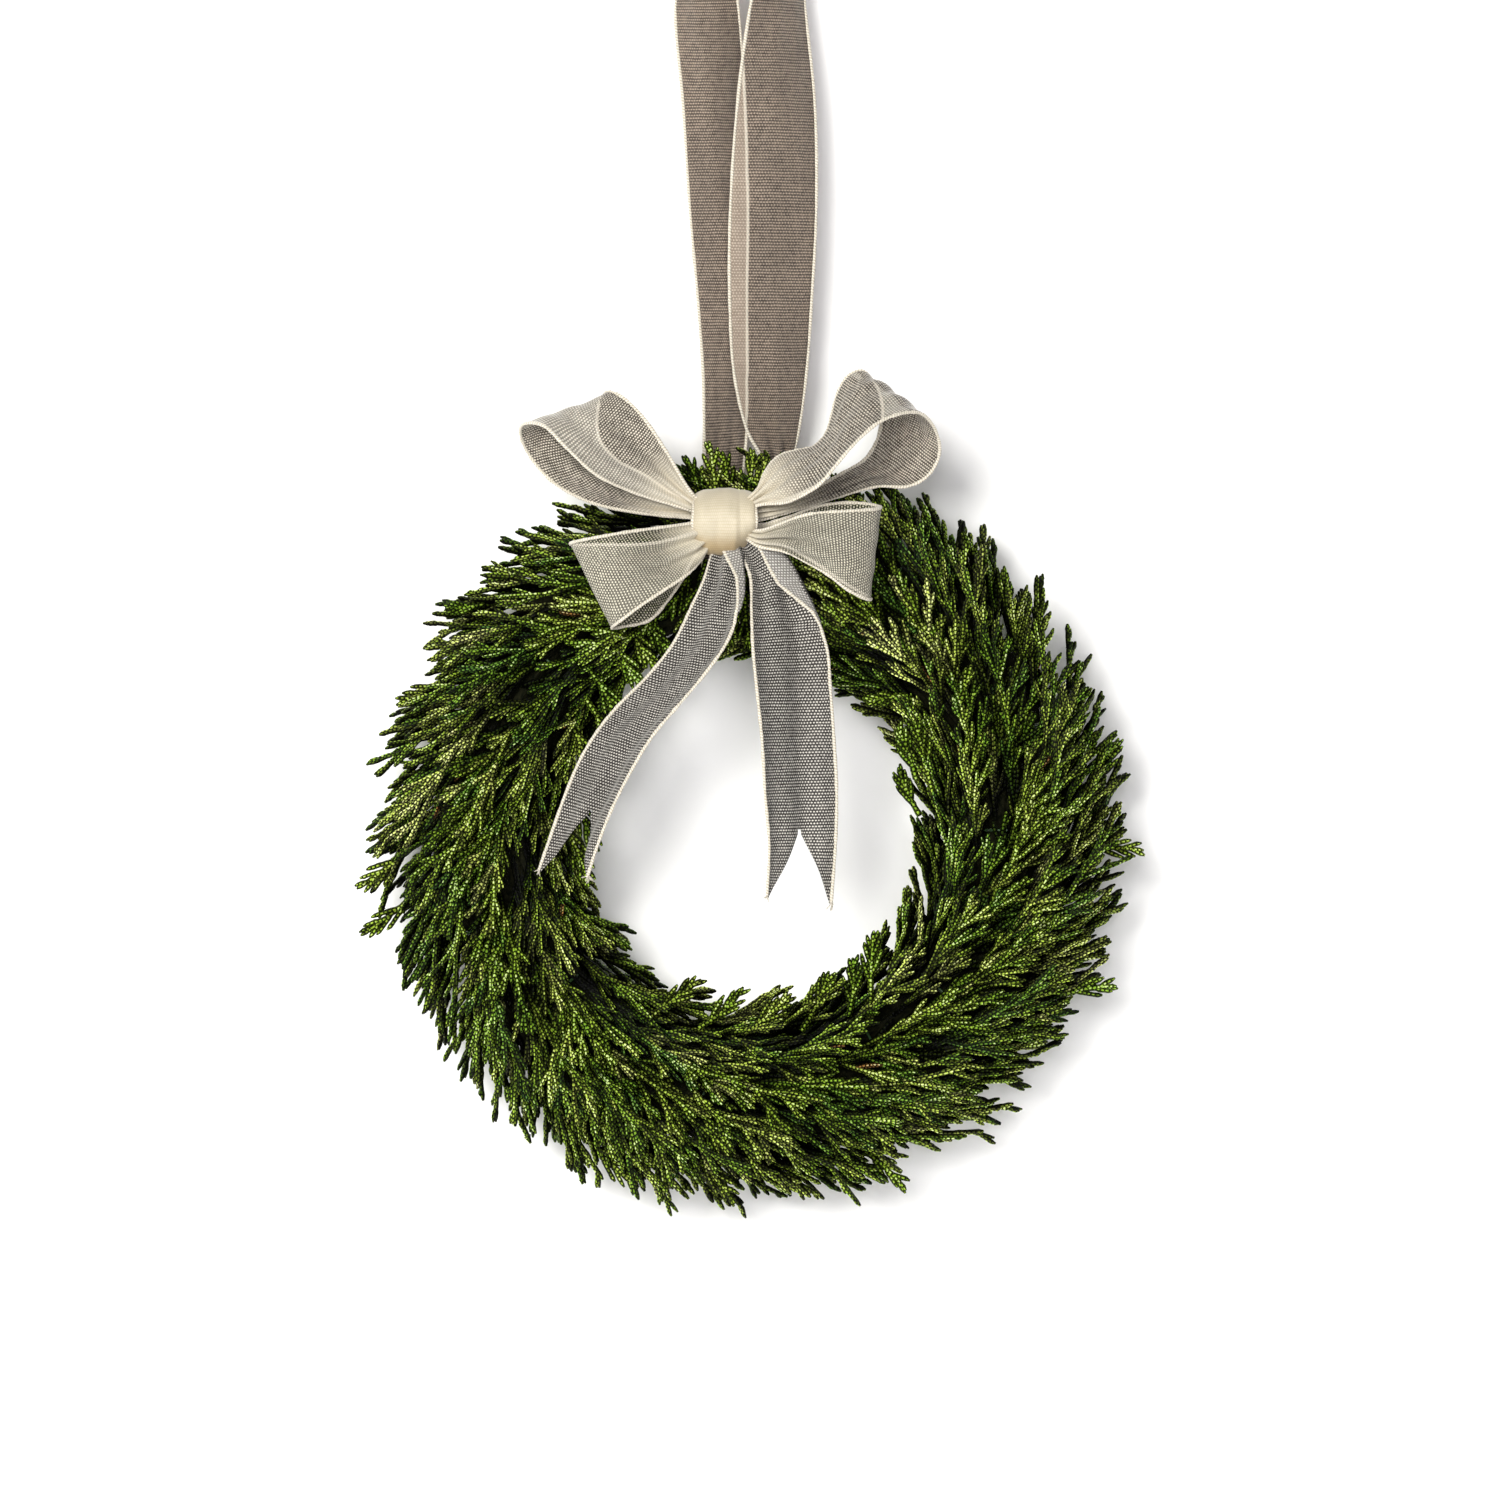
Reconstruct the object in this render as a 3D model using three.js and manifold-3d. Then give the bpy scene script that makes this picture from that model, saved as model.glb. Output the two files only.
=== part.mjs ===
// A small door wreath. Bunches of scale-leaved conifer are tied to a hoop with a binding wire, all
// pointing counter-clockwise as seen from the front. A sheer ribbon hangs it from a hook, and a bow of the
// same ribbon sits on its top. Millimetres, +Z up. The front faces -Y, and the door is at +Y. The origin is
// where the loop rests on its hook.
import * as THREE from "three";
import { mergeVertices } from "three/addons/utils/BufferGeometryUtils.js";
import Module from "manifold-3d";

const wasm = await Module();
wasm.setup();

// Driving dimensions. Heights are above the wreath's centre until the last section moves everything down.
const RING_RADIUS = 72.5; // from the wreath's centre to the middle of its body
const CORE_WIDE = 14.5; // half the width, along the radius, of the tied stems
const CORE_DEEP = 10.5; // half their depth, front to back
const CORE_NECK = 0.86; // how far the wire draws the stems in at each end of a bunch
const BODY_WIDE = 27.5; // half the width of the foliage
const BODY_FRONT = 23; // how far it stands forward
const BODY_BACK = 15; // and backward, where the door flattens it
const HOOP_RADIUS = 2.5;
const HOOP_SIDES = 6;
const HOOP_STEPS = 48;
const SEAT_GAP = 0.35; // clearance between pieces that touch
const WIRE_RADIUS = 0.4;
const WIRE_GAP = 1.7; // between the stems of two bunches, where the wire runs
const RIBBON_THICK = 0.7;
const HOOK_HEIGHT = 273.6; // the hook's top, above the wreath's centre

// Bunches and sprays
const BUNCHES = 18;
const SPRAYS = 11; // tried in each bunch
const SPRAY_LENGTH = 44;
const STEM_RADIUS = 1.35;
const STEM_RINGS = [0, 0.38, 0.48, 0.58, 0.68, 0.78, 0.88, 1]; // shares of a stem's length
const TWIGS = 6; // side twigs of a spray, one between each two rings
const TWIG_RADIUS = 0.8;
const TWIG_LENGTH = 14;
const ROOT_DEPTH = 0.28; // how far under the tied stems' outside a spray starts, in layers
const OUTER_FLARE = 0.4; // extra layers that the outermost sprays reach
const INNER_TRIM = 0.08; // layers that the innermost ones lack
const TWIG_SPREAD = 0.7; // how far a twig leans to the side for each unit along the stem
const TRIES = 14;
const CLEAR = 0.45; // kept between the foliage of two bunches
const FIRST_ANGLE = 100; // degrees from +X, counter-clockwise, where the first bunch starts

const BARK = new THREE.MeshStandardMaterial({ color: 0x4d3420, roughness: 0.85 });
const WIRE = new THREE.MeshStandardMaterial({ color: 0x2f4327, roughness: 0.45, metalness: 0.7 });
const RIBBON = new THREE.MeshStandardMaterial({ color: 0xcfc3a8, roughness: 0.55 });
const KNOT = new THREE.MeshStandardMaterial({ color: 0xf0e4c4, roughness: 0.6 });

const radians = THREE.MathUtils.degToRad;
const degrees = THREE.MathUtils.radToDeg;
const mix = THREE.MathUtils.lerp;

// A seeded draw, the same on every run
let seed = 20771;
function draw(low = 0, high = 1) {
  seed = (seed + 0x6d2b79f5) >>> 0;
  let t = Math.imul(seed ^ (seed >>> 15), seed | 1);
  t ^= t + Math.imul(t ^ (t >>> 7), t | 61);
  return low + (high - low) * (((t ^ (t >>> 14)) >>> 0) / 4294967296);
}

// Solids

function solidFrom(geometry) {
  const plain = new THREE.BufferGeometry().setAttribute("position", geometry.getAttribute("position"));
  plain.setIndex(geometry.getIndex());
  const merged = mergeVertices(plain, 1e-4);
  const vertProperties = new Float32Array(merged.getAttribute("position").array);
  const triVerts = new Uint32Array(merged.getIndex().array);
  return new wasm.Manifold(new wasm.Mesh({ numProp: 3, vertProperties, triVerts }));
}

function geometryFrom(solid) {
  const mesh = solid.getMesh();
  const places = new Float32Array(mesh.numVert * 3);
  for (let i = 0; i < mesh.numVert; i++) {
    places.set(mesh.vertProperties.subarray(i * mesh.numProp, i * mesh.numProp + 3), i * 3);
  }
  const geometry = new THREE.BufferGeometry();
  geometry.setAttribute("position", new THREE.BufferAttribute(places, 3));
  geometry.setIndex(new THREE.BufferAttribute(new Uint32Array(mesh.triVerts), 1));
  geometry.computeVertexNormals();
  return geometry;
}

function geometryOf(points, triangles) {
  const geometry = new THREE.BufferGeometry();
  const places = points.flatMap((p) => p.toArray());
  geometry.setAttribute("position", new THREE.Float32BufferAttribute(places, 3));
  geometry.setIndex(triangles.flat());
  return geometry;
}

function largestBody(solid) {
  const bodies = solid.decompose();
  return bodies.reduce((best, body) => (body.volume() > best.volume() ? body : best));
}

// A closed solid through rings of equally many points, each ring counter-clockwise about the way on
function loft(rings) {
  const sides = rings[0].length;
  const triangles = [];
  for (let k = 0; k + 1 < rings.length; k++) {
    for (let i = 0; i < sides; i++) {
      const [a, b] = [k * sides + i, k * sides + ((i + 1) % sides)];
      triangles.push([a, b, b + sides], [a, b + sides, a + sides]);
    }
  }
  const last = (rings.length - 1) * sides;
  for (let i = 1; i + 1 < sides; i++) {
    triangles.push([0, i + 1, i], [last, last + i, last + i + 1]);
  }
  return geometryOf(rings.flat(), triangles);
}

// The angles of a ring's corners
function corners(sides, first = 0) {
  return Array.from({ length: sides }, (_, i) => ((i + first) / sides) * 2 * Math.PI);
}

// A tube of a few flat sides along points
function tube(points, radius, sides) {
  let across = new THREE.Vector3(0.31, 0.95, 0.12);
  const rings = points.map((p, i) => {
    const before = points[Math.max(i - 1, 0)];
    const after = points[Math.min(i + 1, points.length - 1)];
    const along = after.clone().sub(before).normalize();
    across = across.clone().addScaledVector(along, -across.dot(along)).normalize();
    const other = along.clone().cross(across);
    return corners(sides).map((turn) =>
      p
        .clone()
        .addScaledVector(across, radius * Math.cos(turn))
        .addScaledVector(other, radius * Math.sin(turn)),
    );
  });
  return loft(rings);
}

// A point of the wreath's body: the angle round the ring, the angle round the body (0 outward, 90 forward,
// 180 inward, 270 backward) and the layer (0 on the tied stems, 1 at the foliage's outside)
function bodyPoint(angle, turn, layer) {
  const [c, s] = [Math.cos(radians(turn)), Math.sin(radians(turn))];
  const out = RING_RADIUS + mix(CORE_WIDE, BODY_WIDE, layer) * c;
  const forward = mix(CORE_DEEP, s > 0 ? BODY_FRONT : BODY_BACK, layer) * s;
  return new THREE.Vector3(out * Math.cos(radians(angle)), -forward, out * Math.sin(radians(angle)));
}

// How far a point lies outside the tied stems, as a share of their half depth
function outsideCore(p) {
  const out = Math.hypot(p.x, p.z) - RING_RADIUS;
  return Math.hypot(out / CORE_WIDE, p.y / CORE_DEEP) - 1;
}

// Ribbon. A strip is a list of stations, each [ax, ay, az, bx, by, bz, bulge]: its two woven edges, and how
// far its middle stands off the straight line between them. Between stations it follows smooth curves.

const UPPER_LEFT = [
  [-16.1, -31, 92.2, -16.1, -29, 87.2, 0],
  [-23.1, -34, 103.7, -31, -34, 91.8, 1.5],
  [-29.4, -34, 112.8, -41.8, -40, 96.8, 2],
  [-34.4, -33, 117.7, -49.5, -43, 103.7, 2],
  [-38.2, -30, 119.6, -56, -41, 110, 1.5],
  [-39.9, -26, 118.6, -61.8, -35, 110.4, 0],
  [-41.5, -22.5, 113.5, -62.2, -29, 106.6, 0],
  [-40.7, -21, 106, -59.4, -25.5, 101.3, 0.5],
  [-36, -21, 100.7, -53.6, -25, 95, 1],
  [-28, -22.5, 96.6, -43.6, -26, 89.6, 1],
  [-20.5, -24.5, 91.6, -30, -27, 86.6, 0.5],
  [-16.1, -25.5, 90, -16.1, -25.5, 85.2, 0],
];
const LOWER_LEFT = [
  [-16.1, -33, 83.6, -14, -32, 73, 0],
  [-23.1, -37, 82.6, -17, -35, 69.8, 1.5],
  [-33.6, -41, 81.1, -23.1, -38, 65.6, 2],
  [-39.9, -41.5, 80, -29.4, -39, 61.4, 1.5],
  [-45.4, -39.5, 79, -34.8, -38, 57.4, 1],
  [-48.8, -34.5, 78.2, -37.6, -33.5, 55.2, 0],
  [-47.8, -29.8, 77.8, -34.6, -29.4, 55.6, 0],
  [-41.5, -27.6, 77.8, -27.4, -27.6, 57.4, 0.5],
  [-28.4, -26.6, 78, -22.4, -26.6, 62.8, 0.5],
  [-20, -26, 79.6, -18.4, -26, 68.6, 0],
  [-16.1, -25.5, 81, -15.6, -25.5, 73.6, 0],
];
const UPPER_RIGHT = [
  [2.3, -32, 93.4, 2.3, -32, 88.6, 0],
  [4.4, -32, 98.2, 9.4, -37, 89.2, 1],
  [7.8, -30, 102, 14, -41, 90.9, 1.5],
  [12.6, -28, 103.6, 19, -43.5, 94.2, 1.5],
  [17.4, -26.5, 104.8, 23, -45, 98.8, 1],
  [20.8, -25.5, 108.4, 26.3, -45, 102.8, 1],
  [22.4, -25, 113.6, 30, -44, 106.7, 1.5],
  [24, -25, 119.6, 34.6, -42.5, 110.6, 2],
  [27, -25.5, 124.2, 40.6, -39.5, 113.2, 1.5],
  [30.6, -25, 125.4, 46.6, -34, 113.4, 0.5],
  [34.4, -22.6, 121, 50.8, -26.8, 108.6, 0],
  [36, -21.8, 114.1, 51.6, -21.6, 102.3, 0],
  [34.9, -22.5, 107.3, 48.4, -19.6, 96.8, 0.5],
  [31.6, -24, 101.6, 43, -19.8, 94, 0.5],
  [26, -25.8, 98, 35, -21.4, 94, 0.5],
  [18, -27.4, 93.6, 22.6, -23.8, 90.6, 0],
  [9.4, -27.8, 90, 11, -25.2, 87, 0],
  [2.3, -27.6, 89.2, 2.3, -26, 84.6, 0],
];
const LOWER_RIGHT = [
  [2.3, -33, 81.6, 2.3, -32, 77.4, 0],
  [7.7, -36, 83.2, 9.4, -34.5, 76, 1],
  [12.4, -38.6, 85, 15.7, -37, 72.8, 1.5],
  [17.3, -40, 86.2, 20.6, -38.6, 70, 2],
  [26.1, -39.4, 86.8, 26.7, -38.6, 65.4, 1.5],
  [33.6, -36, 87.4, 31.8, -35, 63, 0.5],
  [35.6, -31.4, 88, 32.8, -31, 63.2, 0],
  [32.6, -27.8, 89, 30.4, -28, 64.6, 0],
  [26, -26.4, 89.4, 24.8, -27, 67.9, 0.5],
  [18.4, -25.6, 88.4, 17.6, -26.4, 72.9, 0.5],
  [10, -25, 85.4, 10.2, -26, 77, 0],
  [2.3, -24.6, 83.4, 2.3, -25.4, 78.6, 0],
];
const TAIL_LEFT = [
  [-10.6, -27.4, 74.8, -3.4, -29.4, 75.2, 0],
  [-12.6, -28, 68.2, -2.4, -32.4, 68, 1],
  [-15.9, -28.2, 61.1, -2.8, -35.6, 60.5, 2],
  [-20.9, -28.4, 50.9, -5.8, -37.4, 51.7, 3],
  [-28, -28.6, 42, -12, -38, 42.6, 3],
  [-35, -28.8, 35, -19.4, -38, 33.8, 3],
  [-40.2, -28.8, 29, -26.4, -37.6, 25.4, 3],
  [-45.7, -28.4, 20.4, -31.8, -37, 16.6, 3],
  [-50, -28, 10.6, -37, -36.4, 6.4, 2.5],
  [-54.2, -27.6, -1.1, -41, -36, -3.6, 2],
  [-57.6, -27.2, -10.8, -44, -35.6, -12.8, 1.5],
];
const TAIL_RIGHT = [
  [-2.4, -28.6, 75, 3.4, -27.4, 75.9, 0],
  [0, -31.4, 69.4, 8.6, -28.4, 70.8, 1],
  [0.4, -35, 59.6, 16, -29, 61.6, 2],
  [0.8, -36.8, 49.5, 21, -29, 50.7, 2.5],
  [1.9, -37.2, 38.2, 22.2, -28.8, 38.5, 3],
  [3.3, -37, 24.2, 23.2, -28.4, 24.6, 3],
  [4.1, -36.6, 10.2, 23.9, -28, 10.8, 2.5],
  [5.2, -36, -3.9, 23.6, -27.8, -3.6, 2],
  [4.6, -35.4, -18.2, 22.4, -27.6, -20, 1],
];
// The hanging ribbon runs from the knot under the body, up behind it, over the hook and back the same way.
const HANGER = [
  [-13, -13.5, 87, -4.4, -13.5, 87, 0],
  [-13, -13.3, 78, -4.4, -13.3, 78, 0],
  [-13, -11.2, 69, -4.4, -11.2, 69, 0],
  [-13, -8.3, 62.4, -4.4, -8.3, 62.4, 0],
  [-13, -4.4, 58.4, -4.4, -4.4, 58.4, 0],
  [-13, 4.4, 58.4, -4.2, 4.4, 58.4, 0],
  [-13, 8.6, 62.6, -4, 8.6, 62.6, 0],
  [-13, 11.4, 69.4, -3.8, 11.4, 69.4, 0],
  [-12.9, 11.8, 78, -3.4, 11.8, 78, 0],
  [-12.8, 11.4, 86, -3, 11.6, 86, 0],
  [-12.6, 9.6, 95.5, -2.2, 10.6, 96, 0],
  [-12.6, 7, 106, -1.1, 10.6, 107, 1],
  [-12.9, 5, 125.7, -0.8, 11.6, 125.7, 3.5],
  [-14.4, 3.4, 146.9, -0.8, 12, 146.9, 4.5],
  [-16.5, 3, 170.5, -0.6, 12, 170.5, 4.5],
  [-18.4, 4, 200, -1.4, 10.4, 200, 4],
  [-20.4, 6.6, 228, -3.4, 3.4, 228, 3],
  [-16.8, 11.6, 243, -5.4, -3.6, 244, 2],
  [-9.8, 15, 256, -5.8, -7.4, 257, 0.8],
  [-5.9, 16, 266, -5.4, -8.6, 266.4, 0],
  [-4.1, 16, 271, -4, -8.6, 271, 0],
  [0, 16, 273.95, 0, -8.6, 273.95, 0],
  [4.1, 16, 271, 4, -8.6, 271, 0],
  [5.9, 16, 266, 5.4, -8.6, 266.4, 0],
  [9.4, 15, 256, 5.4, -7.6, 257, 0.6],
  [14.2, 12, 243, 4.2, -5.8, 244, 1.6],
  [15, 9.4, 228, 0.4, -4.4, 228, 2],
  [17.8, 6, 200, -3.4, -2.6, 200, 2.5],
  [18.2, 5, 170.5, -5.4, -2, 170.5, 2],
  [17, 5.4, 146.9, -5.6, -0.6, 146.9, 2],
  [15.5, 6.4, 125.7, -4.4, 1, 125.7, 2],
  [13.4, 8, 110, 0, 4, 110, 1],
  [10.6, 10, 98, 1, 7.4, 98, 0],
  [8, 11.8, 86, -1.4, 11.6, 86, 0],
  [6.4, 11.8, 78, -2.2, 11.8, 78, 0],
  [5.6, 11.4, 69.4, -2.8, 11.4, 69.4, 0],
  [5, 8.6, 62.6, -3, 8.6, 62.6, 0],
  [4.4, 4.4, 58.4, -3.2, 4.4, 58.4, 0],
  [4, -4.4, 58.4, -3.4, -4.4, 58.4, 0],
  [4, -8.3, 62.4, -3.4, -8.3, 62.4, 0],
  [3, -11.2, 69, -3.4, -11.2, 69, 0],
  [2, -13.3, 78, -3.4, -13.3, 78, 0],
  [1.6, -13.5, 87, -3.4, -13.5, 87, 0],
];

function edgesOf(stations) {
  const left = new THREE.CatmullRomCurve3(stations.map(([x, y, z]) => new THREE.Vector3(x, y, z)));
  const right = new THREE.CatmullRomCurve3(stations.map((s) => new THREE.Vector3(s[3], s[4], s[5])));
  const rise = (u) => {
    const at = Math.min(u * (stations.length - 1), stations.length - 1.001);
    const i = Math.floor(at);
    return mix(stations[i][6], stations[i + 1][6], at - i);
  };
  return { left, right, rise };
}

// A point of a strip: u runs along it and v from its first edge to its second
function ribbonPoint({ left, right, rise }, u, v) {
  const step = 0.01;
  const [a, b] = [left.getPoint(u), right.getPoint(u)];
  const along = left.getPoint(Math.min(u + step, 1)).add(right.getPoint(Math.min(u + step, 1)));
  along.sub(left.getPoint(Math.max(u - step, 0))).sub(right.getPoint(Math.max(u - step, 0)));
  const off = b.clone().sub(a).cross(along).normalize();
  return a.clone().lerp(b, v).addScaledVector(off, rise(u) * Math.sin(Math.PI * v));
}

// A closed sheet of even thickness round the middle surface that the points and triangles give
function thicken(points, triangles, thick) {
  const flat = geometryOf(points, triangles);
  flat.computeVertexNormals();
  const offs = points.map((_, i) => new THREE.Vector3().fromBufferAttribute(flat.getAttribute("normal"), i));
  const moved = (by) => points.map((p, i) => p.clone().addScaledVector(offs[i], by));
  const n = points.length;
  const closed = triangles.flatMap(([a, b, c]) => [[a, b, c], [a + n, c + n, b + n]]);
  const edges = new Set(triangles.flatMap(([a, b, c]) => [`${a},${b}`, `${b},${c}`, `${c},${a}`]));
  for (const edge of edges) {
    const [a, b] = edge.split(",").map(Number);
    if (!edges.has(`${b},${a}`)) {
      closed.push([a, a + n, b + n], [a, b + n, b]);
    }
  }
  return geometryOf([...moved(thick / 2), ...moved(-thick / 2)], closed);
}

// The middle surface of a strip. With a notch, its end is cut to two points from that share of it on.
function stripSheet(stations, rows, columns, notch = 1) {
  const edges = edgesOf(stations);
  const points = [];
  const triangles = [];
  const row = (u, from, to, count) => {
    const first = points.length;
    for (let j = 0; j <= count; j++) {
      points.push(ribbonPoint(edges, u, mix(from, to, j / count)));
    }
    return Array.from({ length: count + 1 }, (_, j) => first + j);
  };
  const join = (low, high) => {
    for (let j = 0; j + 1 < low.length; j++) {
      triangles.push([low[j], low[j + 1], high[j + 1]], [low[j], high[j + 1], high[j]]);
    }
  };
  let last = row(0, 0, 1, columns);
  for (let i = 1; i <= rows; i++) {
    const next = row((i / rows) * notch, 0, 1, columns);
    join(last, next);
    last = next;
  }
  if (notch < 1) {
    const half = columns / 2;
    const steps = 2;
    let [lows, highs] = [last.slice(0, half + 1), last.slice(half)];
    for (let i = 1; i <= steps; i++) {
      const u = mix(notch, 1, i / steps);
      const reach = 0.5 * (1 - i / steps) + 0.05;
      const [nextLow, nextHigh] = [row(u, 0, reach, half), row(u, 1 - reach, 1, half)];
      join(lows, nextLow);
      join(highs, nextHigh);
      [lows, highs] = [nextLow, nextHigh];
    }
  }
  return { points, triangles, edges };
}

const STRIPS = {
  bow_loop_upper_left: { stations: UPPER_LEFT, rows: 16, columns: 2 },
  bow_loop_lower_left: { stations: LOWER_LEFT, rows: 14, columns: 2 },
  bow_loop_upper_right: { stations: UPPER_RIGHT, rows: 22, columns: 2 },
  bow_loop_lower_right: { stations: LOWER_RIGHT, rows: 15, columns: 2 },
  bow_tail_left: { stations: TAIL_LEFT, rows: 10, columns: 4, notch: 0.82 },
  bow_tail_right: { stations: TAIL_RIGHT, rows: 9, columns: 4, notch: 0.83 },
  hanger_ribbon: { stations: HANGER, rows: HANGER.length - 1, columns: 2 },
};

// The knot: a squat barrel that lies across the bow, where its ribbon is wrapped round the gathered loops
const KNOT_CENTRE = new THREE.Vector3(-6.9, -24.8, 84.2);
const KNOT_HALF = 8.7;
const KNOT_DEEP = 10.6;
const KNOT_HIGH = 9.3;

function knot() {
  const rings = [-1, -0.82, -0.3, 0.3, 0.82, 1].map((s) => {
    const swell = 0.8 + 0.2 * Math.sqrt(1 - s ** 4);
    const [deep, high] = [swell * KNOT_DEEP, swell * KNOT_HIGH];
    return corners(14).map((turn) =>
      new THREE.Vector3(s * KNOT_HALF, deep * Math.cos(turn), high * Math.sin(turn)).add(KNOT_CENTRE),
    );
  });
  return loft(rings);
}

// Foliage. Each new stem or twig is kept clear of the ribbon and of the other bunches.

const CELL = 5;
const ribbonCells = new Map();
const cellKey = (x, y, z) => `${x},${y},${z}`;

function rememberRibbon(edges) {
  const [along, across] = [Math.ceil(edges.left.getLength() / 1.6), 14];
  for (let i = 0; i <= along; i++) {
    for (let j = 0; j <= across; j++) {
      const p = ribbonPoint(edges, i / along, j / across);
      const key = cellKey(...p.toArray().map((c) => Math.floor(c / CELL)));
      ribbonCells.set(key, [...(ribbonCells.get(key) ?? []), p]);
    }
  }
}

function nearRibbon(p, reach) {
  const [i, j, k] = p.toArray().map((c) => Math.floor(c / CELL));
  for (let step = 0; step < 27; step++) {
    const key = cellKey(i + (step % 3) - 1, j + (Math.floor(step / 3) % 3) - 1, k + Math.floor(step / 9) - 1);
    const found = ribbonCells.get(key) ?? [];
    if (found.some((q) => q.distanceToSquared(p) < reach * reach)) {
      return true;
    }
  }
  const { x, y, z } = p.clone().sub(KNOT_CENTRE);
  return Math.hypot(x / (KNOT_HALF + reach), y / (KNOT_DEEP + reach), z / (KNOT_HIGH + reach)) < 1.05;
}

// The least distance between two segments
function segmentGap(p1, q1, p2, q2) {
  const [d1, d2, r] = [q1.clone().sub(p1), q2.clone().sub(p2), p1.clone().sub(p2)];
  const [a, e, f, c, b] = [d1.dot(d1), d2.dot(d2), d2.dot(r), d1.dot(r), d1.dot(d2)];
  const spread = a * e - b * b;
  let s = spread > 1e-9 ? THREE.MathUtils.clamp((b * f - c * e) / spread, 0, 1) : 0;
  const t = THREE.MathUtils.clamp((b * s + f) / e, 0, 1);
  s = THREE.MathUtils.clamp((b * t - c) / a, 0, 1);
  return p1.clone().addScaledVector(d1, s).distanceTo(p2.clone().addScaledVector(d2, t));
}

const kept = []; // segments of stems and twigs so far: { p, q, radius, bunch, spray }

function fits(points, radius, bunch, spray) {
  const [start, end] = coreSpan(bunch);
  for (let i = 1; i < points.length; i++) {
    const [p, q] = [points[i - 1], points[i]];
    const steps = Math.ceil(p.distanceTo(q) / 1.5);
    for (let k = 0; k <= steps; k++) {
      const at = p.clone().lerp(q, k / steps);
      const angle = (degrees(Math.atan2(at.z, at.x)) - start + 720) % 360;
      const own = angle < end - start - 1.2;
      const inOther = !own && outsideCore(at) * CORE_DEEP < radius + CLEAR + 0.35;
      if (inOther || nearRibbon(at, radius + 1.5)) {
        return false;
      }
    }
    const blocked = kept.some((other) => {
      const room = radius + other.radius + (other.bunch === bunch ? 0 : CLEAR);
      const same = other.bunch === bunch && other.spray === spray;
      return !same && segmentGap(p, q, other.p, other.q) < room;
    });
    if (blocked) {
      return false;
    }
  }
  return true;
}

function keep(points, radius, bunch, spray) {
  for (let i = 1; i < points.length; i++) {
    kept.push({ p: points[i - 1], q: points[i], radius, bunch, spray });
  }
}

const BUNCH_ANGLE = 360 / BUNCHES;
const HALF_GAP = degrees(WIRE_GAP / 2 / RING_RADIUS);

function coreSpan(bunch) {
  const start = FIRST_ANGLE + bunch * BUNCH_ANGLE;
  return [start + HALF_GAP, start + BUNCH_ANGLE - HALF_GAP];
}

// The tied stems of one bunch: a barrel round the hoop, drawn in at both ends
function core(bunch) {
  const [start, end] = coreSpan(bunch);
  const rings = [0, 0.5, 1].map((t) => {
    const neck = t === 0.5 ? 1 : CORE_NECK;
    const angle = radians(mix(start, end, t));
    return corners(8, 0.5).map((turn) => {
      const out = RING_RADIUS + neck * CORE_WIDE * Math.cos(turn);
      const deep = neck * CORE_DEEP * Math.sin(turn);
      return new THREE.Vector3(out * Math.cos(angle), deep, out * Math.sin(angle));
    });
  });
  return loft(rings);
}

// The line of a spray's stem. It leaves the tied stems, follows the ring and drifts to the outside.
function stemLine(angle, turn, length, layer) {
  const drift = -30 * Math.sin(radians(turn));
  const outward = Math.max(0, Math.cos(radians(turn)));
  return (t) => {
    const travel = (length * t * (1 - 0.16 * outward * t)) / (RING_RADIUS + 12 * outward);
    const rise = (layer + ROOT_DEPTH + OUTER_FLARE * outward * t) * Math.max(t, 0) ** 0.8;
    return bodyPoint(angle + degrees(travel), turn + drift * t, rise - ROOT_DEPTH);
  };
}

// Straight away from the ring's middle line
function awayFrom(p) {
  return p.clone().sub(new THREE.Vector3(p.x, 0, p.z).setLength(RING_RADIUS)).normalize();
}

// A flat spray as one solid: a three-sided stem, with twigs that rise from its two side faces in turn
function sprayGeometry(line, radius, tips) {
  const rings = STEM_RINGS.map((t) => {
    const along = line(t + 0.02).sub(line(t - 0.02)).normalize();
    const off = awayFrom(line(t)).addScaledVector(along, -awayFrom(line(t)).dot(along)).normalize();
    const side = along.clone().cross(off);
    const wide = t < 1 ? radius * (1 - 0.35 * t) : 0;
    return corners(3).map((turn) =>
      line(t)
        .addScaledVector(off, wide * Math.cos(turn))
        .addScaledVector(side, wide * Math.sin(turn)),
    );
  });
  const last = rings.length - 1;
  const points = [...rings.slice(0, last).flat(), rings[last][0]];
  const triangles = [[0, 2, 1]];
  for (let i = 0; i < last; i++) {
    for (let s = 0; s < 3; s++) {
      const [a, b] = [3 * i + s, 3 * i + ((s + 1) % 3)];
      const [c, d] = i + 1 < last ? [b + 3, a + 3] : [3 * last, 3 * last];
      const tip = tips[i]?.face === s ? tips[i].at : null;
      if (tip) {
        points.push(tip);
        const e = points.length - 1;
        triangles.push([a, b, c], [a, c, e], [c, d, e], [d, a, e]);
      } else if (c === d) {
        triangles.push([a, b, c]);
      } else {
        triangles.push([a, b, c], [a, c, d]);
      }
    }
  }
  return geometryOf(points, triangles);
}

// The segment of a twig that leaves the stem at t, to the left (1) or right (-1)
function twigLine(line, t, side, length, lift) {
  const base = line(t);
  const along = line(t + 0.03).sub(line(t - 0.03)).normalize();
  const off = awayFrom(base);
  const across = along.clone().cross(off).normalize();
  const way = along.addScaledVector(across, side * TWIG_SPREAD).addScaledVector(off, lift).normalize();
  return [base, base.clone().addScaledVector(way, length)];
}

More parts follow.
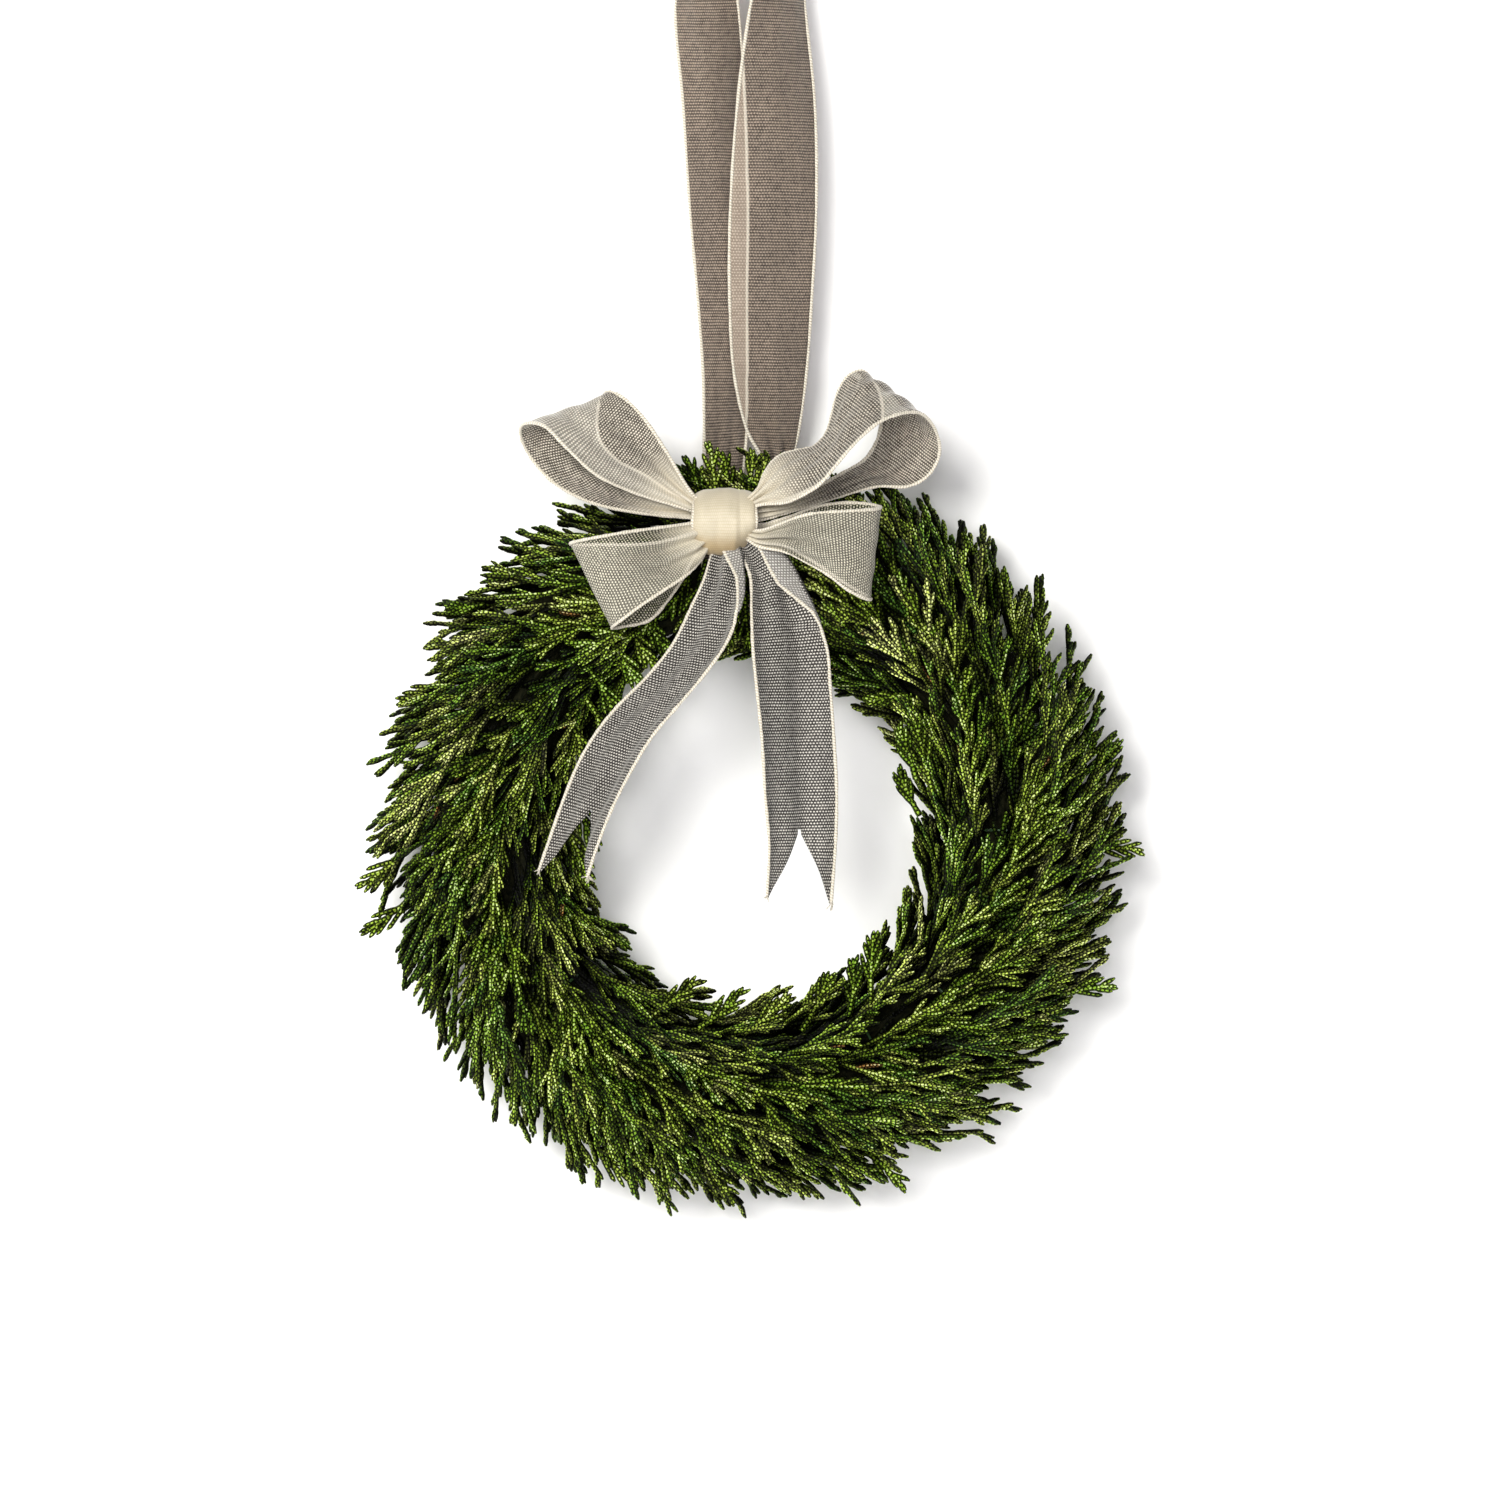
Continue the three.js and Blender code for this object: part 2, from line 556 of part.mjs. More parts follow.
function growSpray(bunch, spray, turn) {
  const [start] = coreSpan(bunch);
  for (let attempt = 0; attempt < TRIES; attempt++) {
    const shorten = 1 - 0.035 * attempt;
    const angle = start + draw(0.5, 0.42 * BUNCH_ANGLE);
    const length = SPRAY_LENGTH * shorten * draw(0.86, 1.1);
    const inward = Math.max(0, -Math.cos(radians(turn)));
    const line = stemLine(angle, turn + draw(-7, 7), length, draw(0.72, 1.04) - INNER_TRIM * inward);
    const points = [line(0), line(0.3), line(0.65), line(1)];
    if (!fits(points, STEM_RADIUS, bunch, spray)) {
      continue;
    }
    keep(points, STEM_RADIUS, bunch, spray);
    const tips = STEM_RINGS.map((t, i) => {
      if (i === 0 || i > TWIGS) {
        return null;
      }
      const side = i % 2 ? 1 : -1;
      const next = STEM_RINGS[i + 1];
      const long = TWIG_LENGTH * (1.3 - 0.55 * t) * shorten * draw(0.85, 1.15);
      const [base, tip] = twigLine(line, (t + next) / 2, side, long, draw(-0.05, 0.16));
      if (!fits([base.clone().lerp(tip, 0.3), tip], TWIG_RADIUS, bunch, spray)) {
        return null;
      }
      keep([base, tip], TWIG_RADIUS, bunch, spray);
      return { face: side > 0 ? 0 : 2, at: tip };
    });
    return [solidFrom(sprayGeometry(line, STEM_RADIUS, tips))];
  }
  return [];
}

function hoopTorus(radius) {
  return new THREE.TorusGeometry(RING_RADIUS, radius, HOOP_SIDES, HOOP_STEPS).rotateX(Math.PI / 2);
}

function bunchSolids() {
  const channel = solidFrom(hoopTorus(HOOP_RADIUS + SEAT_GAP));
  const grown = Array.from({ length: BUNCHES }, () => []);
  for (let spray = 0; spray < SPRAYS; spray++) {
    for (let bunch = 0; bunch < BUNCHES; bunch++) {
      const turn = -62 + (304 * (((spray * 8) % SPRAYS) + 0.5 * (bunch % 2))) / SPRAYS;
      grown[bunch].push(...growSpray(bunch, spray, turn));
    }
  }
  return grown.map((solids, bunch) => {
    const stems = solidFrom(core(bunch)).subtract(channel);
    return largestBody(solids.reduce((all, one) => all.add(one), stems));
  });
}

// The binding wire: once round each neck between two bunches, then over the back of the next bunch
function wireLine() {
  const points = [];
  for (let neck = 0; neck < BUNCHES; neck++) {
    const angle = FIRST_ANGLE + neck * BUNCH_ANGLE;
    for (let i = 0; i <= 6; i++) {
      const tight = 0.84 + 0.16 * Math.abs(i / 3 - 1) ** 3;
      const turn = radians(282 + 336 * (i / 6));
      const out = RING_RADIUS + tight * CORE_WIDE * Math.cos(turn);
      points.push(
        new THREE.Vector3(
          out * Math.cos(radians(angle)),
          -tight * CORE_DEEP * Math.sin(turn),
          out * Math.sin(radians(angle)),
        ),
      );
    }
    if (neck + 1 < BUNCHES) {
      [0.3, 0.7].forEach((t) => points.push(bodyPoint(angle + t * BUNCH_ANGLE, mix(262, 278, t), 0.3)));
    }
  }
  return points;
}

// The whole wreath, moved so that the hook's top is the origin

const wreath = new THREE.Group();
wreath.position.z = -HOOK_HEIGHT;

function addPiece(name, geometry, material) {
  const piece = new THREE.Mesh(geometry, material);
  piece.name = name;
  wreath.add(piece);
}

for (const [name, { stations, rows, columns, notch }] of Object.entries(STRIPS)) {
  const sheet = stripSheet(stations, rows, columns, notch);
  rememberRibbon(sheet.edges);
  addPiece(name, thicken(sheet.points, sheet.triangles, RIBBON_THICK), RIBBON);
}
addPiece("bow_knot", knot(), KNOT);
addPiece("hoop", hoopTorus(HOOP_RADIUS), BARK);
const wire = wireLine();
keep(wire, WIRE_RADIUS, -1, 0);
addPiece("binding_wire", tube(wire, WIRE_RADIUS, 3), WIRE);
bunchSolids().forEach((solid, bunch) => {
  const name = `foliage_bunch_${String(bunch + 1).padStart(2, "0")}`;
  const green = new THREE.Color().setHSL(draw(0.21, 0.27), draw(0.4, 0.52), draw(0.24, 0.32));
  const foliage = new THREE.MeshStandardMaterial({ color: green, roughness: 0.6 });
  addPiece(name, geometryFrom(solid), foliage);
});

export default wreath;
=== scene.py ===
import functools
import math

import bpy
import numpy as np
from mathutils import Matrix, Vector
from mathutils.kdtree import KDTree


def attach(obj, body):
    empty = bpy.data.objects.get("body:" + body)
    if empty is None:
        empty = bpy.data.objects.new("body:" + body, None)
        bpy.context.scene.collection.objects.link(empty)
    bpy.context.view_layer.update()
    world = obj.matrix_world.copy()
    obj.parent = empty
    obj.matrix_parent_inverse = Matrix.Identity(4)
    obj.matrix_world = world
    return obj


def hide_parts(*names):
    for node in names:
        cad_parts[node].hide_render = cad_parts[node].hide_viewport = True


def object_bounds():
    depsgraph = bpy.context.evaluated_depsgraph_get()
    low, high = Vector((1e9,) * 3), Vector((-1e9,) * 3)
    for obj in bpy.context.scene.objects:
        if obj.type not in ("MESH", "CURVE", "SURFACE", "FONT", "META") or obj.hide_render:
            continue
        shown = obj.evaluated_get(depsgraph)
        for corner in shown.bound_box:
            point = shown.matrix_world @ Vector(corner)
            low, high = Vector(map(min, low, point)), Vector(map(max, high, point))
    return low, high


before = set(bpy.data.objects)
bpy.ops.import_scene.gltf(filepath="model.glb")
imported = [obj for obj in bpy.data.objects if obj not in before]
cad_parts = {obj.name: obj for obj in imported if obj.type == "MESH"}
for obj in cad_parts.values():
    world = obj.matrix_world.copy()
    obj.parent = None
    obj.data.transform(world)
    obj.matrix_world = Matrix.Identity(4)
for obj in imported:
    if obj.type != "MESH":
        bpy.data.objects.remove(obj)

cad_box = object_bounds()

# Driving dimensions of the part
HOOK_HEIGHT = 273.6
RING_RADIUS = 72.5
CORE_WIDE = 14.5
CORE_DEEP = 10.5
CORE_NECK = 0.86
BODY_WIDE = 27.5
BODY_FRONT = 23
BODY_BACK = 15
WIRE_RADIUS = 0.4
WIRE_GAP = 1.7
BUNCHES = 18
BUNCH_ANGLE = 360 / BUNCHES
FIRST_ANGLE = 100
HALF_GAP = math.degrees(WIRE_GAP / 2 / RING_RADIUS)
SPRAYS = 11
SPRAY_LENGTH = 44
STEM_RADIUS = 1.35
STEM_RINGS = (0, 0.38, 0.48, 0.58, 0.68, 0.78, 0.88, 1)
TWIGS = 6
TWIG_RADIUS = 0.8
TWIG_LENGTH = 14
ROOT_DEPTH = 0.28
OUTER_FLARE = 0.4
INNER_TRIM = 0.08
TWIG_SPREAD = 0.7
TRIES = 14
CLEAR = 0.45
KNOT_CENTRE = np.array([-6.9, -24.8, 84.2])
KNOT_HALF = np.array([8.7, 10.6, 9.3])
RIBBON_WIDTH = 25.4

# Fine detail of this scene
LEAF_STEP = 1.25  # between the rings of a branchlet
LEAF_RADIUS = 0.86
LEAF_CLEAR = 1.5  # from a branchlet's middle line to the ribbon
CLOTH_THICK = 0.24
CLOTH_STEP = 1.1
SELVEDGE_RADIUS = 0.47
KNOT_CORD_RADIUS = 0.5

# How clear the holes of each weave are, from 0 to 1
LOOP_CLEAR = 0.08
LOWER_LOOP_CLEAR = 0.5
TAIL_CLEAR = 0.15
FLAP_CLEAR = 0.05
HANGER_CLEAR = 0.03

BODY_OF_ALL = "root"


# The photograph's frame: its width at the wreath, in metres, and the height at its middle
VIEW_WIDTH = 0.4125
VIEW_HEIGHT = -0.2516
CAMERA_DISTANCE = 3.0


def make_camera():
    data = bpy.data.cameras.new("camera")
    data.sensor_width = 36
    data.lens = data.sensor_width * CAMERA_DISTANCE / VIEW_WIDTH
    camera = bpy.data.objects.new("camera", data)
    camera.location = (0, -CAMERA_DISTANCE, VIEW_HEIGHT)
    camera.rotation_euler = (math.pi / 2, 0, 0)
    bpy.context.scene.collection.objects.link(camera)
    bpy.context.scene.camera = camera


make_camera()


def area_light(name, place, size, watts, colour=(1, 1, 1)):
    data = bpy.data.lights.new(name, "AREA")
    data.shape = "DISK"
    data.size = size
    data.energy = watts
    data.color = colour
    lamp = bpy.data.objects.new(name, data)
    lamp.location = place
    towards = Vector((0, 0, VIEW_HEIGHT)) - Vector(place)
    lamp.rotation_euler = towards.to_track_quat("-Z", "Y").to_euler()
    bpy.context.scene.collection.objects.link(lamp)


def make_lights():
    area_light("key_light", (-0.5, -1.45, 0.12), 0.7, 28, (1, 0.99, 0.95))
    area_light("fill_light", (0.1, -1.9, -0.1), 0.7, 13.5, (0.985, 0.965, 1))
    area_light("back_light", (0.3, 1.6, 0.5), 1.4, 24)
    world = bpy.data.worlds.new("studio")
    world.use_nodes = True
    background = world.node_tree.nodes["Background"]
    background.inputs["Color"].default_value = (1, 0.99, 0.97, 1)
    background.inputs["Strength"].default_value = 0.1
    bpy.context.scene.world = world
    bpy.context.scene.view_settings.view_transform = "Standard"


make_lights()


# Small helpers for numbers and meshes


def mix(a, b, share):
    return a + (b - a) * share


def unit(vectors):
    return vectors / np.maximum(np.linalg.norm(vectors, axis=-1, keepdims=True), 1e-12)


def smooth_step(low, high, value):
    share = np.clip((value - low) / (high - low), 0, 1)
    return share * share * (3 - 2 * share)


def path_lengths(path):
    """How far along a path each of its points is."""
    return np.concatenate([[0], np.cumsum(np.linalg.norm(np.diff(path, axis=0), axis=1))])


def link_mesh(name, points, faces, smooth=True):
    """A new object of points in millimetres above the wreath's centre."""
    mesh = bpy.data.meshes.new(name)
    placed = np.asarray(points, float) * 0.001 - np.array([0, 0, HOOK_HEIGHT * 0.001])
    mesh.from_pydata(placed.tolist(), [], faces.tolist() if hasattr(faces, "tolist") else faces)
    (mesh.shade_smooth if smooth else mesh.shade_flat)()
    piece = bpy.data.objects.new(name, mesh)
    bpy.context.scene.collection.objects.link(piece)
    return piece


def colour_points(piece, name, values):
    """Gives each point of the mesh four numbers that its material reads."""
    layer = piece.data.color_attributes.new(name, "FLOAT_COLOR", "POINT")
    layer.data.foreach_set("color", np.asarray(values, np.float32).ravel())


def lay_flat(piece, places):
    """Gives each point of the mesh its place on the flat cloth, as the UV that the weave reads."""
    layer = piece.data.uv_layers.new(name="weave")
    corners = np.zeros(len(piece.data.loops), int)
    piece.data.loops.foreach_get("vertex_index", corners)
    layer.data.foreach_set("uv", places[corners].ravel())


def stand_in(piece, node, material):
    """Puts a piece in the place of one of the part's nodes."""
    piece.data.materials.append(material)
    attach(piece, BODY_OF_ALL)
    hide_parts(node)


# Materials


class Nodes:
    """A material's nodes, made one by one."""

    def __init__(self, name):
        self.material = bpy.data.materials.new(name)
        self.material.use_nodes = True
        self.tree = self.material.node_tree
        self.shader = self.tree.nodes["Principled BSDF"]

    def join(self, socket, value):
        if isinstance(value, bpy.types.NodeSocket):
            self.tree.links.new(value, socket)
        else:
            socket.default_value = value

    def math(self, operation, a, b=0.0):
        node = self.tree.nodes.new("ShaderNodeMath")
        node.operation = operation
        for socket, value in zip(node.inputs, (a, b)):
            self.join(socket, value)
        return node.outputs[0]

    def add(self, a, b):
        return self.math("ADD", a, b)

    def less(self, a, b):
        return self.math("SUBTRACT", a, b)

    def times(self, a, b):
        return self.math("MULTIPLY", a, b)

    def ramp(self, value, stops):
        node = self.tree.nodes.new("ShaderNodeValToRGB")
        marks = node.color_ramp.elements
        while len(marks) < len(stops):
            marks.new(0.5)
        for mark, (place, colour) in zip(marks, stops):
            mark.position = place
            mark.color = (*colour, 1)
        self.join(node.inputs["Fac"], value)
        return node.outputs["Color"]

    def smooth(self, value, low, high):
        node = self.tree.nodes.new("ShaderNodeMapRange")
        node.interpolation_type = "SMOOTHSTEP"
        self.join(node.inputs["Value"], value)
        node.inputs["From Min"].default_value = low
        node.inputs["From Max"].default_value = high
        return node.outputs["Result"]

    def blend(self, share, a, b, kind="MIX"):
        node = self.tree.nodes.new("ShaderNodeMix")
        node.data_type = "RGBA"
        node.blend_type = kind
        self.join(node.inputs["Factor"], share)
        self.join(node.inputs["A"], a if isinstance(a, bpy.types.NodeSocket) else (*a, 1))
        self.join(node.inputs["B"], b if isinstance(b, bpy.types.NodeSocket) else (*b, 1))
        return node.outputs["Result"]

    def noise(self, place, scale, detail=2.0, roughness=0.5):
        node = self.tree.nodes.new("ShaderNodeTexNoise")
        self.join(node.inputs["Vector"], place)
        node.inputs["Scale"].default_value = scale
        node.inputs["Detail"].default_value = detail
        node.inputs["Roughness"].default_value = roughness
        return node.outputs["Fac"]

    def place(self):
        return self.tree.nodes.new("ShaderNodeTexCoord").outputs["Object"]

    def distance(self, place, point):
        node = self.tree.nodes.new("ShaderNodeVectorMath")
        node.operation = "DISTANCE"
        self.join(node.inputs[0], place)
        node.inputs[1].default_value = point
        return node.outputs["Value"]

    def uv(self):
        node = self.tree.nodes.new("ShaderNodeUVMap")
        node.uv_map = "weave"
        parts = self.tree.nodes.new("ShaderNodeSeparateXYZ")
        self.tree.links.new(node.outputs["UV"], parts.inputs[0])
        return parts.outputs["X"], parts.outputs["Y"]

    def marks(self, name):
        """The parts of a colour that the points carry: red, green, blue and alpha."""
        node = self.tree.nodes.new("ShaderNodeAttribute")
        node.attribute_name = name
        parts = self.tree.nodes.new("ShaderNodeSeparateColor")
        self.tree.links.new(node.outputs["Color"], parts.inputs[0])
        return [parts.outputs[0], parts.outputs[1], parts.outputs[2], node.outputs["Alpha"]]

    def number(self, name):
        node = self.tree.nodes.new("ShaderNodeAttribute")
        node.attribute_name = name
        return node.outputs["Fac"]

    def bump(self, height, distance, strength):
        node = self.tree.nodes.new("ShaderNodeBump")
        self.join(node.inputs["Height"], height)
        node.inputs["Distance"].default_value = distance
        node.inputs["Strength"].default_value = strength
        self.tree.links.new(node.outputs["Normal"], self.shader.inputs["Normal"])


def foliage_material():
    """Scale leaves in crossed pairs, blue-green to yellow-green on top, with painted shade that is near
    black between them.
    """
    n = Nodes("conifer_leaves")
    front, tone, lit, woody = n.marks("leaf")
    place = n.place()
    patches = n.noise(place, 60, 2)
    flecks = n.noise(place, 900, 1)
    clumps = n.smooth(n.noise(place, 330, 2), 0.34, 0.62)
    run = n.add(n.math("DIVIDE", n.number("run"), 1.25), n.times(flecks, 0.6))
    facing_pair = n.smooth(n.math("FRACT", run), 0.0, 0.7)
    side_pair = n.smooth(n.math("FRACT", n.add(run, 0.5)), 0.0, 0.7)
    which = n.smooth(front, 0.38, 0.62)
    facing_part = n.times(facing_pair, which)
    side_part = n.times(side_pair, n.less(1, which))
    scale = n.add(facing_part, side_part)
    seam = n.smooth(n.math("ABSOLUTE", n.less(front, 0.5)), 0.0, 0.3)
    raised = n.times(scale, n.add(0.35, n.times(seam, 0.65)))
    hue = n.add(n.times(tone, 0.62), n.times(patches, 0.42))
    hue = n.add(hue, n.times(n.less(flecks, 0.5), 0.45))
    green = n.ramp(
        hue,
        [
            (0.12, (0.078, 0.200, 0.036)),
            (0.34, (0.185, 0.360, 0.024)),
            (0.54, (0.350, 0.520, 0.044)),
            (0.74, (0.590, 0.715, 0.120)),
            (0.93, (0.860, 0.920, 0.330)),
            (1.00, (0.300, 0.150, 0.040)),
        ],
    )
    # Painted shade: the colour is darkened between the scale leaves and by each corner's baked lit mark,
    # times a random unevenness.
    leaf = n.add(0.02, n.times(n.math("POWER", raised, 1.5), 0.98))
    uneven = n.add(0.5, n.times(clumps, 0.62))
    reach = n.times(n.times(leaf, lit), uneven)
    shade = n.times(n.math("POWER", reach, 1.7), 2.7)
    green = n.blend(1.0, green, n.ramp(shade, [(0, (0, 0, 0)), (1, (1, 1, 1))]), "MULTIPLY")
    # Painted highlight: pale yellow-green glints on the brightest scale tips.
    painted_glint = n.add(reach, n.times(n.less(flecks, 0.5), 0.9))
    green = n.blend(n.times(n.smooth(painted_glint, 0.58, 0.90), 0.7), green, (0.74, 0.82, 0.46))
    # Painted shade: the woody stems and tied stems are coloured near black, as dark gaps in the foliage.
    bark = n.ramp(flecks, [(0.3, (0.002, 0.003, 0.001)), (0.7, (0.012, 0.012, 0.005))])
    n.join(n.shader.inputs["Base Color"], n.blend(woody, green, bark))
    rough = n.add(0.42, n.times(flecks, 0.2))
    n.join(n.shader.inputs["Roughness"], n.add(rough, n.times(woody, 0.35)))
    n.shader.inputs["Specular IOR Level"].default_value = 0.06
    n.bump(n.times(raised, n.less(1, woody)), 0.0003, 0.8)
    return n.material


KNOT_PLACE = tuple(0.001 * (KNOT_CENTRE - (0, 0, HOOK_HEIGHT)))  # in the frame, in metres
GATHERED_TONE = (0.76, 0.69, 0.54)
GATHERED_SHARE = 0.75
# Painted light: how much lighter the threads are painted where another layer lies behind.
SECOND_LAYER_PAINTED_LIGHT = (1.38, 1.48, 1.62)
HIDDEN_EDGE_TONE = (0.80, 0.74, 0.62)
WEFT_PITCH = 0.81
WARP_PAIR = 0.865  # two warp threads, one over and one under each weft row


def woven_material(name, thread, hole_shade, cover, warp_cover, crease=0.25, second=0.3, under=None, drawn=None):
    """An open plain weave of flat weft rows, which run across the ribbon, and thin warp threads.

    second is how light a layer behind looks through the holes, as a share of the thread's colour; it is
    painted light of that layer. The holes are filled with painted shade. under is the heights, in the frame,
    where painted shade darkens the cloth downward, and its tint there. drawn is the distances from the
    knot's centre between which the drawn-in pleats close the holes.
    """
    n = Nodes(name)
    along, across = n.uv()
    place = n.place()
    waver = n.times(n.less(n.noise(place, 240, 2), 0.5), 2.6)
    uneven = n.times(n.less(n.noise(place, 800, 1), 0.5), 0.9)
    row = n.add(n.times(along, 2 * math.pi / WEFT_PITCH), waver)
    column = n.add(n.times(across, 2 * math.pi / WARP_PAIR), waver)
    knuckle = n.times(n.math("COSINE", column), n.math("COSINE", n.times(row, 0.5)))
    weft_rise = n.add(n.math("COSINE", row), n.times(knuckle, 0.8))
    weft = n.smooth(n.add(weft_rise, uneven), -0.35 - cover, 0.45 - cover)
    warp_rise = n.math("COSINE", n.times(column, 2))
    warp = n.smooth(n.add(warp_rise, uneven), 0.9 - 2 * warp_cover, 1.5 - 2 * warp_cover)
    solid = n.math("MAXIMUM", weft, n.times(warp, 0.85))
    weft_height = n.times(weft, n.add(0.68, n.times(knuckle, 0.32)))
    warp_height = n.times(warp, n.less(0.62, n.times(knuckle, 0.30)))
    height = n.math("MAXIMUM", weft_height, warp_height)
    soft = n.noise(place, 90, 3)
    dark_thread = tuple(c * (1 - crease) for c in thread)
    yarn = n.ramp(soft, [(0.3, dark_thread), (0.7, thread)])
    # Painted shade: the threads are darker where they dip low in the weave.
    yarn = n.blend(n.smooth(height, 0.2, 0.85), tuple(c * 0.5 for c in thread), yarn)
    layer_gap, edge_gap, edge_on, clear = n.marks("behind")
    inside = n.smooth(n.times(edge_gap, -1), -0.02, 0.02)
    doubled = n.times(inside, n.less(1, n.smooth(layer_gap, 0.16, 0.24)))
    lined = n.less(1, n.smooth(n.math("ABSOLUTE", edge_gap), 0.02, 0.06))
    closed = n.smooth(edge_on, 0.55, 0.97)
    if drawn:
        near, far = drawn
        ragged = n.times(n.noise(place, 260, 2), 0.004)
        from_knot = n.add(n.distance(place, KNOT_PLACE), ragged)
        gathered = n.less(1, n.smooth(from_knot, near, far))
        closed = n.math("MAXIMUM", closed, gathered)
    solid = n.math("MAXIMUM", solid, n.times(closed, 0.85))
    # Painted shade: the holes are nearly opaque and filled with a dark colour, in place of what shows
    # through them.
    open_part = n.times(n.less(1, solid), clear)
    # Painted light: where another layer lies behind, the holes take a share of the thread's colour and the
    # threads are painted lighter, as light through two layers.
    behind = n.blend(doubled, hole_shade, tuple(c * second for c in thread))
    painted_lit_yarn = n.blend(1.0, yarn, SECOND_LAYER_PAINTED_LIGHT, "MULTIPLY")
    yarn = n.blend(n.times(doubled, second), yarn, painted_lit_yarn)
    cloth = n.blend(solid, behind, yarn)
    if drawn:
        cloth = n.blend(n.times(gathered, GATHERED_SHARE), cloth, GATHERED_TONE)
    colour = n.blend(n.times(lined, 0.5), cloth, HIDDEN_EDGE_TONE)
    # Painted shade: below these heights the colour is darkened by the tint, as where the knot's band curls
    # under.
    if under:
        low, high, tint = under
        parts = n.tree.nodes.new("ShaderNodeSeparateXYZ")
        n.join(parts.inputs[0], place)
        height_here = n.add(parts.outputs["Z"], n.times(n.noise(place, 300, 2), 0.002))
        share = n.less(1, n.smooth(height_here, low, high))
        colour = n.blend(share, colour, n.blend(1.0, colour, tint, "MULTIPLY"))
    n.join(n.shader.inputs["Base Color"], colour)
    n.join(n.shader.inputs["Alpha"], n.less(1, open_part))
    n.join(n.shader.inputs["Roughness"], n.less(0.75, n.times(height, 0.25)))
    n.shader.inputs["Sheen Weight"].default_value = 0.2
    n.shader.inputs["Sheen Roughness"].default_value = 0.4
    n.bump(height, 0.0002, 0.3 if cover > 0.5 else 0.8)
    return n.material


def selvedge_material():
    """The corded edge of the ribbon: glossy cream yarns wound round at a slant."""
    n = Nodes("ribbon_selvedge")
    along, around = n.uv()
    place = n.place()
    wound = n.add(n.math("DIVIDE", along, 0.8), around)
    strand = n.times(n.math("PINGPONG", wound, 0.5), 2)
    fuzz = n.noise(place, 1500, 2)
    shade = n.add(n.times(strand, 0.55), n.times(fuzz, 0.5))
    yarn = n.ramp(shade, [(0.15, (0.34, 0.29, 0.20)), (0.75, (0.76, 0.71, 0.61))])
    n.join(n.shader.inputs["Base Color"], yarn)
    n.join(n.shader.inputs["Roughness"], n.add(0.4, n.times(fuzz, 0.3)))
    n.shader.inputs["Sheen Weight"].default_value = 0.3
    n.bump(n.add(strand, n.times(fuzz, 0.5)), 0.0002, 0.8)
    return n.material


def bark_material():
    n = Nodes("hoop_bark")
    place = n.place()
    grain = n.noise(place, 420, 4, 0.7)
    patches = n.noise(place, 70, 2)
    brown = n.ramp(
        grain,
        [
            (0.30, (0.035, 0.018, 0.009)),
            (0.55, (0.110, 0.062, 0.030)),
            (0.75, (0.220, 0.140, 0.080)),
        ],
    )
    colour = n.blend(n.times(patches, 0.4), brown, (0.05, 0.05, 0.03))
    n.join(n.shader.inputs["Base Color"], colour)
    n.join(n.shader.inputs["Roughness"], n.add(0.6, n.times(grain, 0.3)))
    n.bump(grain, 0.0006, 0.9)
    return n.material


def wire_material():
    """Florist's wire in green lacquer that is rubbed in places."""
    n = Nodes("wire_lacquer")
    place = n.place()
    rub = n.smooth(n.noise(place, 500, 3), 0.58, 0.70)
    tint = n.noise(place, 120, 2)
    lacquer = n.ramp(tint, [(0.3, (0.020, 0.055, 0.018)), (0.7, (0.045, 0.100, 0.030))])
    n.join(n.shader.inputs["Base Color"], n.blend(rub, lacquer, (0.30, 0.29, 0.27)))
    n.join(n.shader.inputs["Metallic"], rub)
    n.join(n.shader.inputs["Roughness"], n.add(0.3, n.times(tint, 0.2)))
    n.bump(tint, 0.0001, 0.4)
    return n.material


# Backdrop: a white wall just behind the wreath, curved forward to a floor below. From behind it isn't
# seen, so that the wreath's back shows.
WALL_GAP = 0.0015
WALL_HALF = 4.0
WALL_TOP = 2.0
FLOOR_HEIGHT = -0.95
SWEEP_RADIUS = 0.25
FLOOR_REACH = 6.0


def make_backdrop():
    wall = cad_box[1].y + WALL_GAP
    turns = np.linspace(0, math.pi / 2, 13)
    curve = [
        (wall - SWEEP_RADIUS * (1 - math.cos(a)), FLOOR_HEIGHT + SWEEP_RADIUS * (1 - math.sin(a)))
        for a in turns
    ]
    profile = [(wall, WALL_TOP), *curve, (wall - FLOOR_REACH, FLOOR_HEIGHT)]
    points = [(x, y, z) for y, z in profile for x in (-WALL_HALF, WALL_HALF)]
    faces = [(2 * i + 1, 2 * i, 2 * i + 2, 2 * i + 3) for i in range(len(profile) - 1)]
    mesh = bpy.data.meshes.new("backdrop")
    mesh.from_pydata(points, [], faces)
    mesh.shade_smooth()
    backdrop = bpy.data.objects.new("backdrop", mesh)
    bpy.context.scene.collection.objects.link(backdrop)
    n = Nodes("backdrop_paint")
    n.shader.inputs["Roughness"].default_value = 0.9
    n.shader.inputs["Specular IOR Level"].default_value = 0.1
    paint = n.ramp(n.noise(n.place(), 3, 2), [(0.3, (0.95, 0.95, 0.95)), (0.7, (0.96, 0.96, 0.96))])
    n.join(n.shader.inputs["Base Color"], paint)
    sides = n.tree.nodes.new("ShaderNodeNewGeometry").outputs["Backfacing"]
    rays = n.tree.nodes.new("ShaderNodeLightPath").outputs["Is Shadow Ray"]
    clear = n.tree.nodes.new("ShaderNodeBsdfTransparent").outputs[0]
    either = n.tree.nodes.new("ShaderNodeMixShader")
    n.join(either.inputs[0], n.math("MAXIMUM", sides, rays))
    n.join(either.inputs[1], n.shader.outputs[0])
    n.join(either.inputs[2], clear)
    n.join(n.tree.nodes["Material Output"].inputs["Surface"], either.outputs[0])
    mesh.materials.append(n.material)


make_backdrop()


# Ribbon, as in the part's source. A strip is a list of stations, each [ax, ay, az, bx, by, bz, bulge]: its
# two woven edges, and how far its middle stands off the straight line between them.

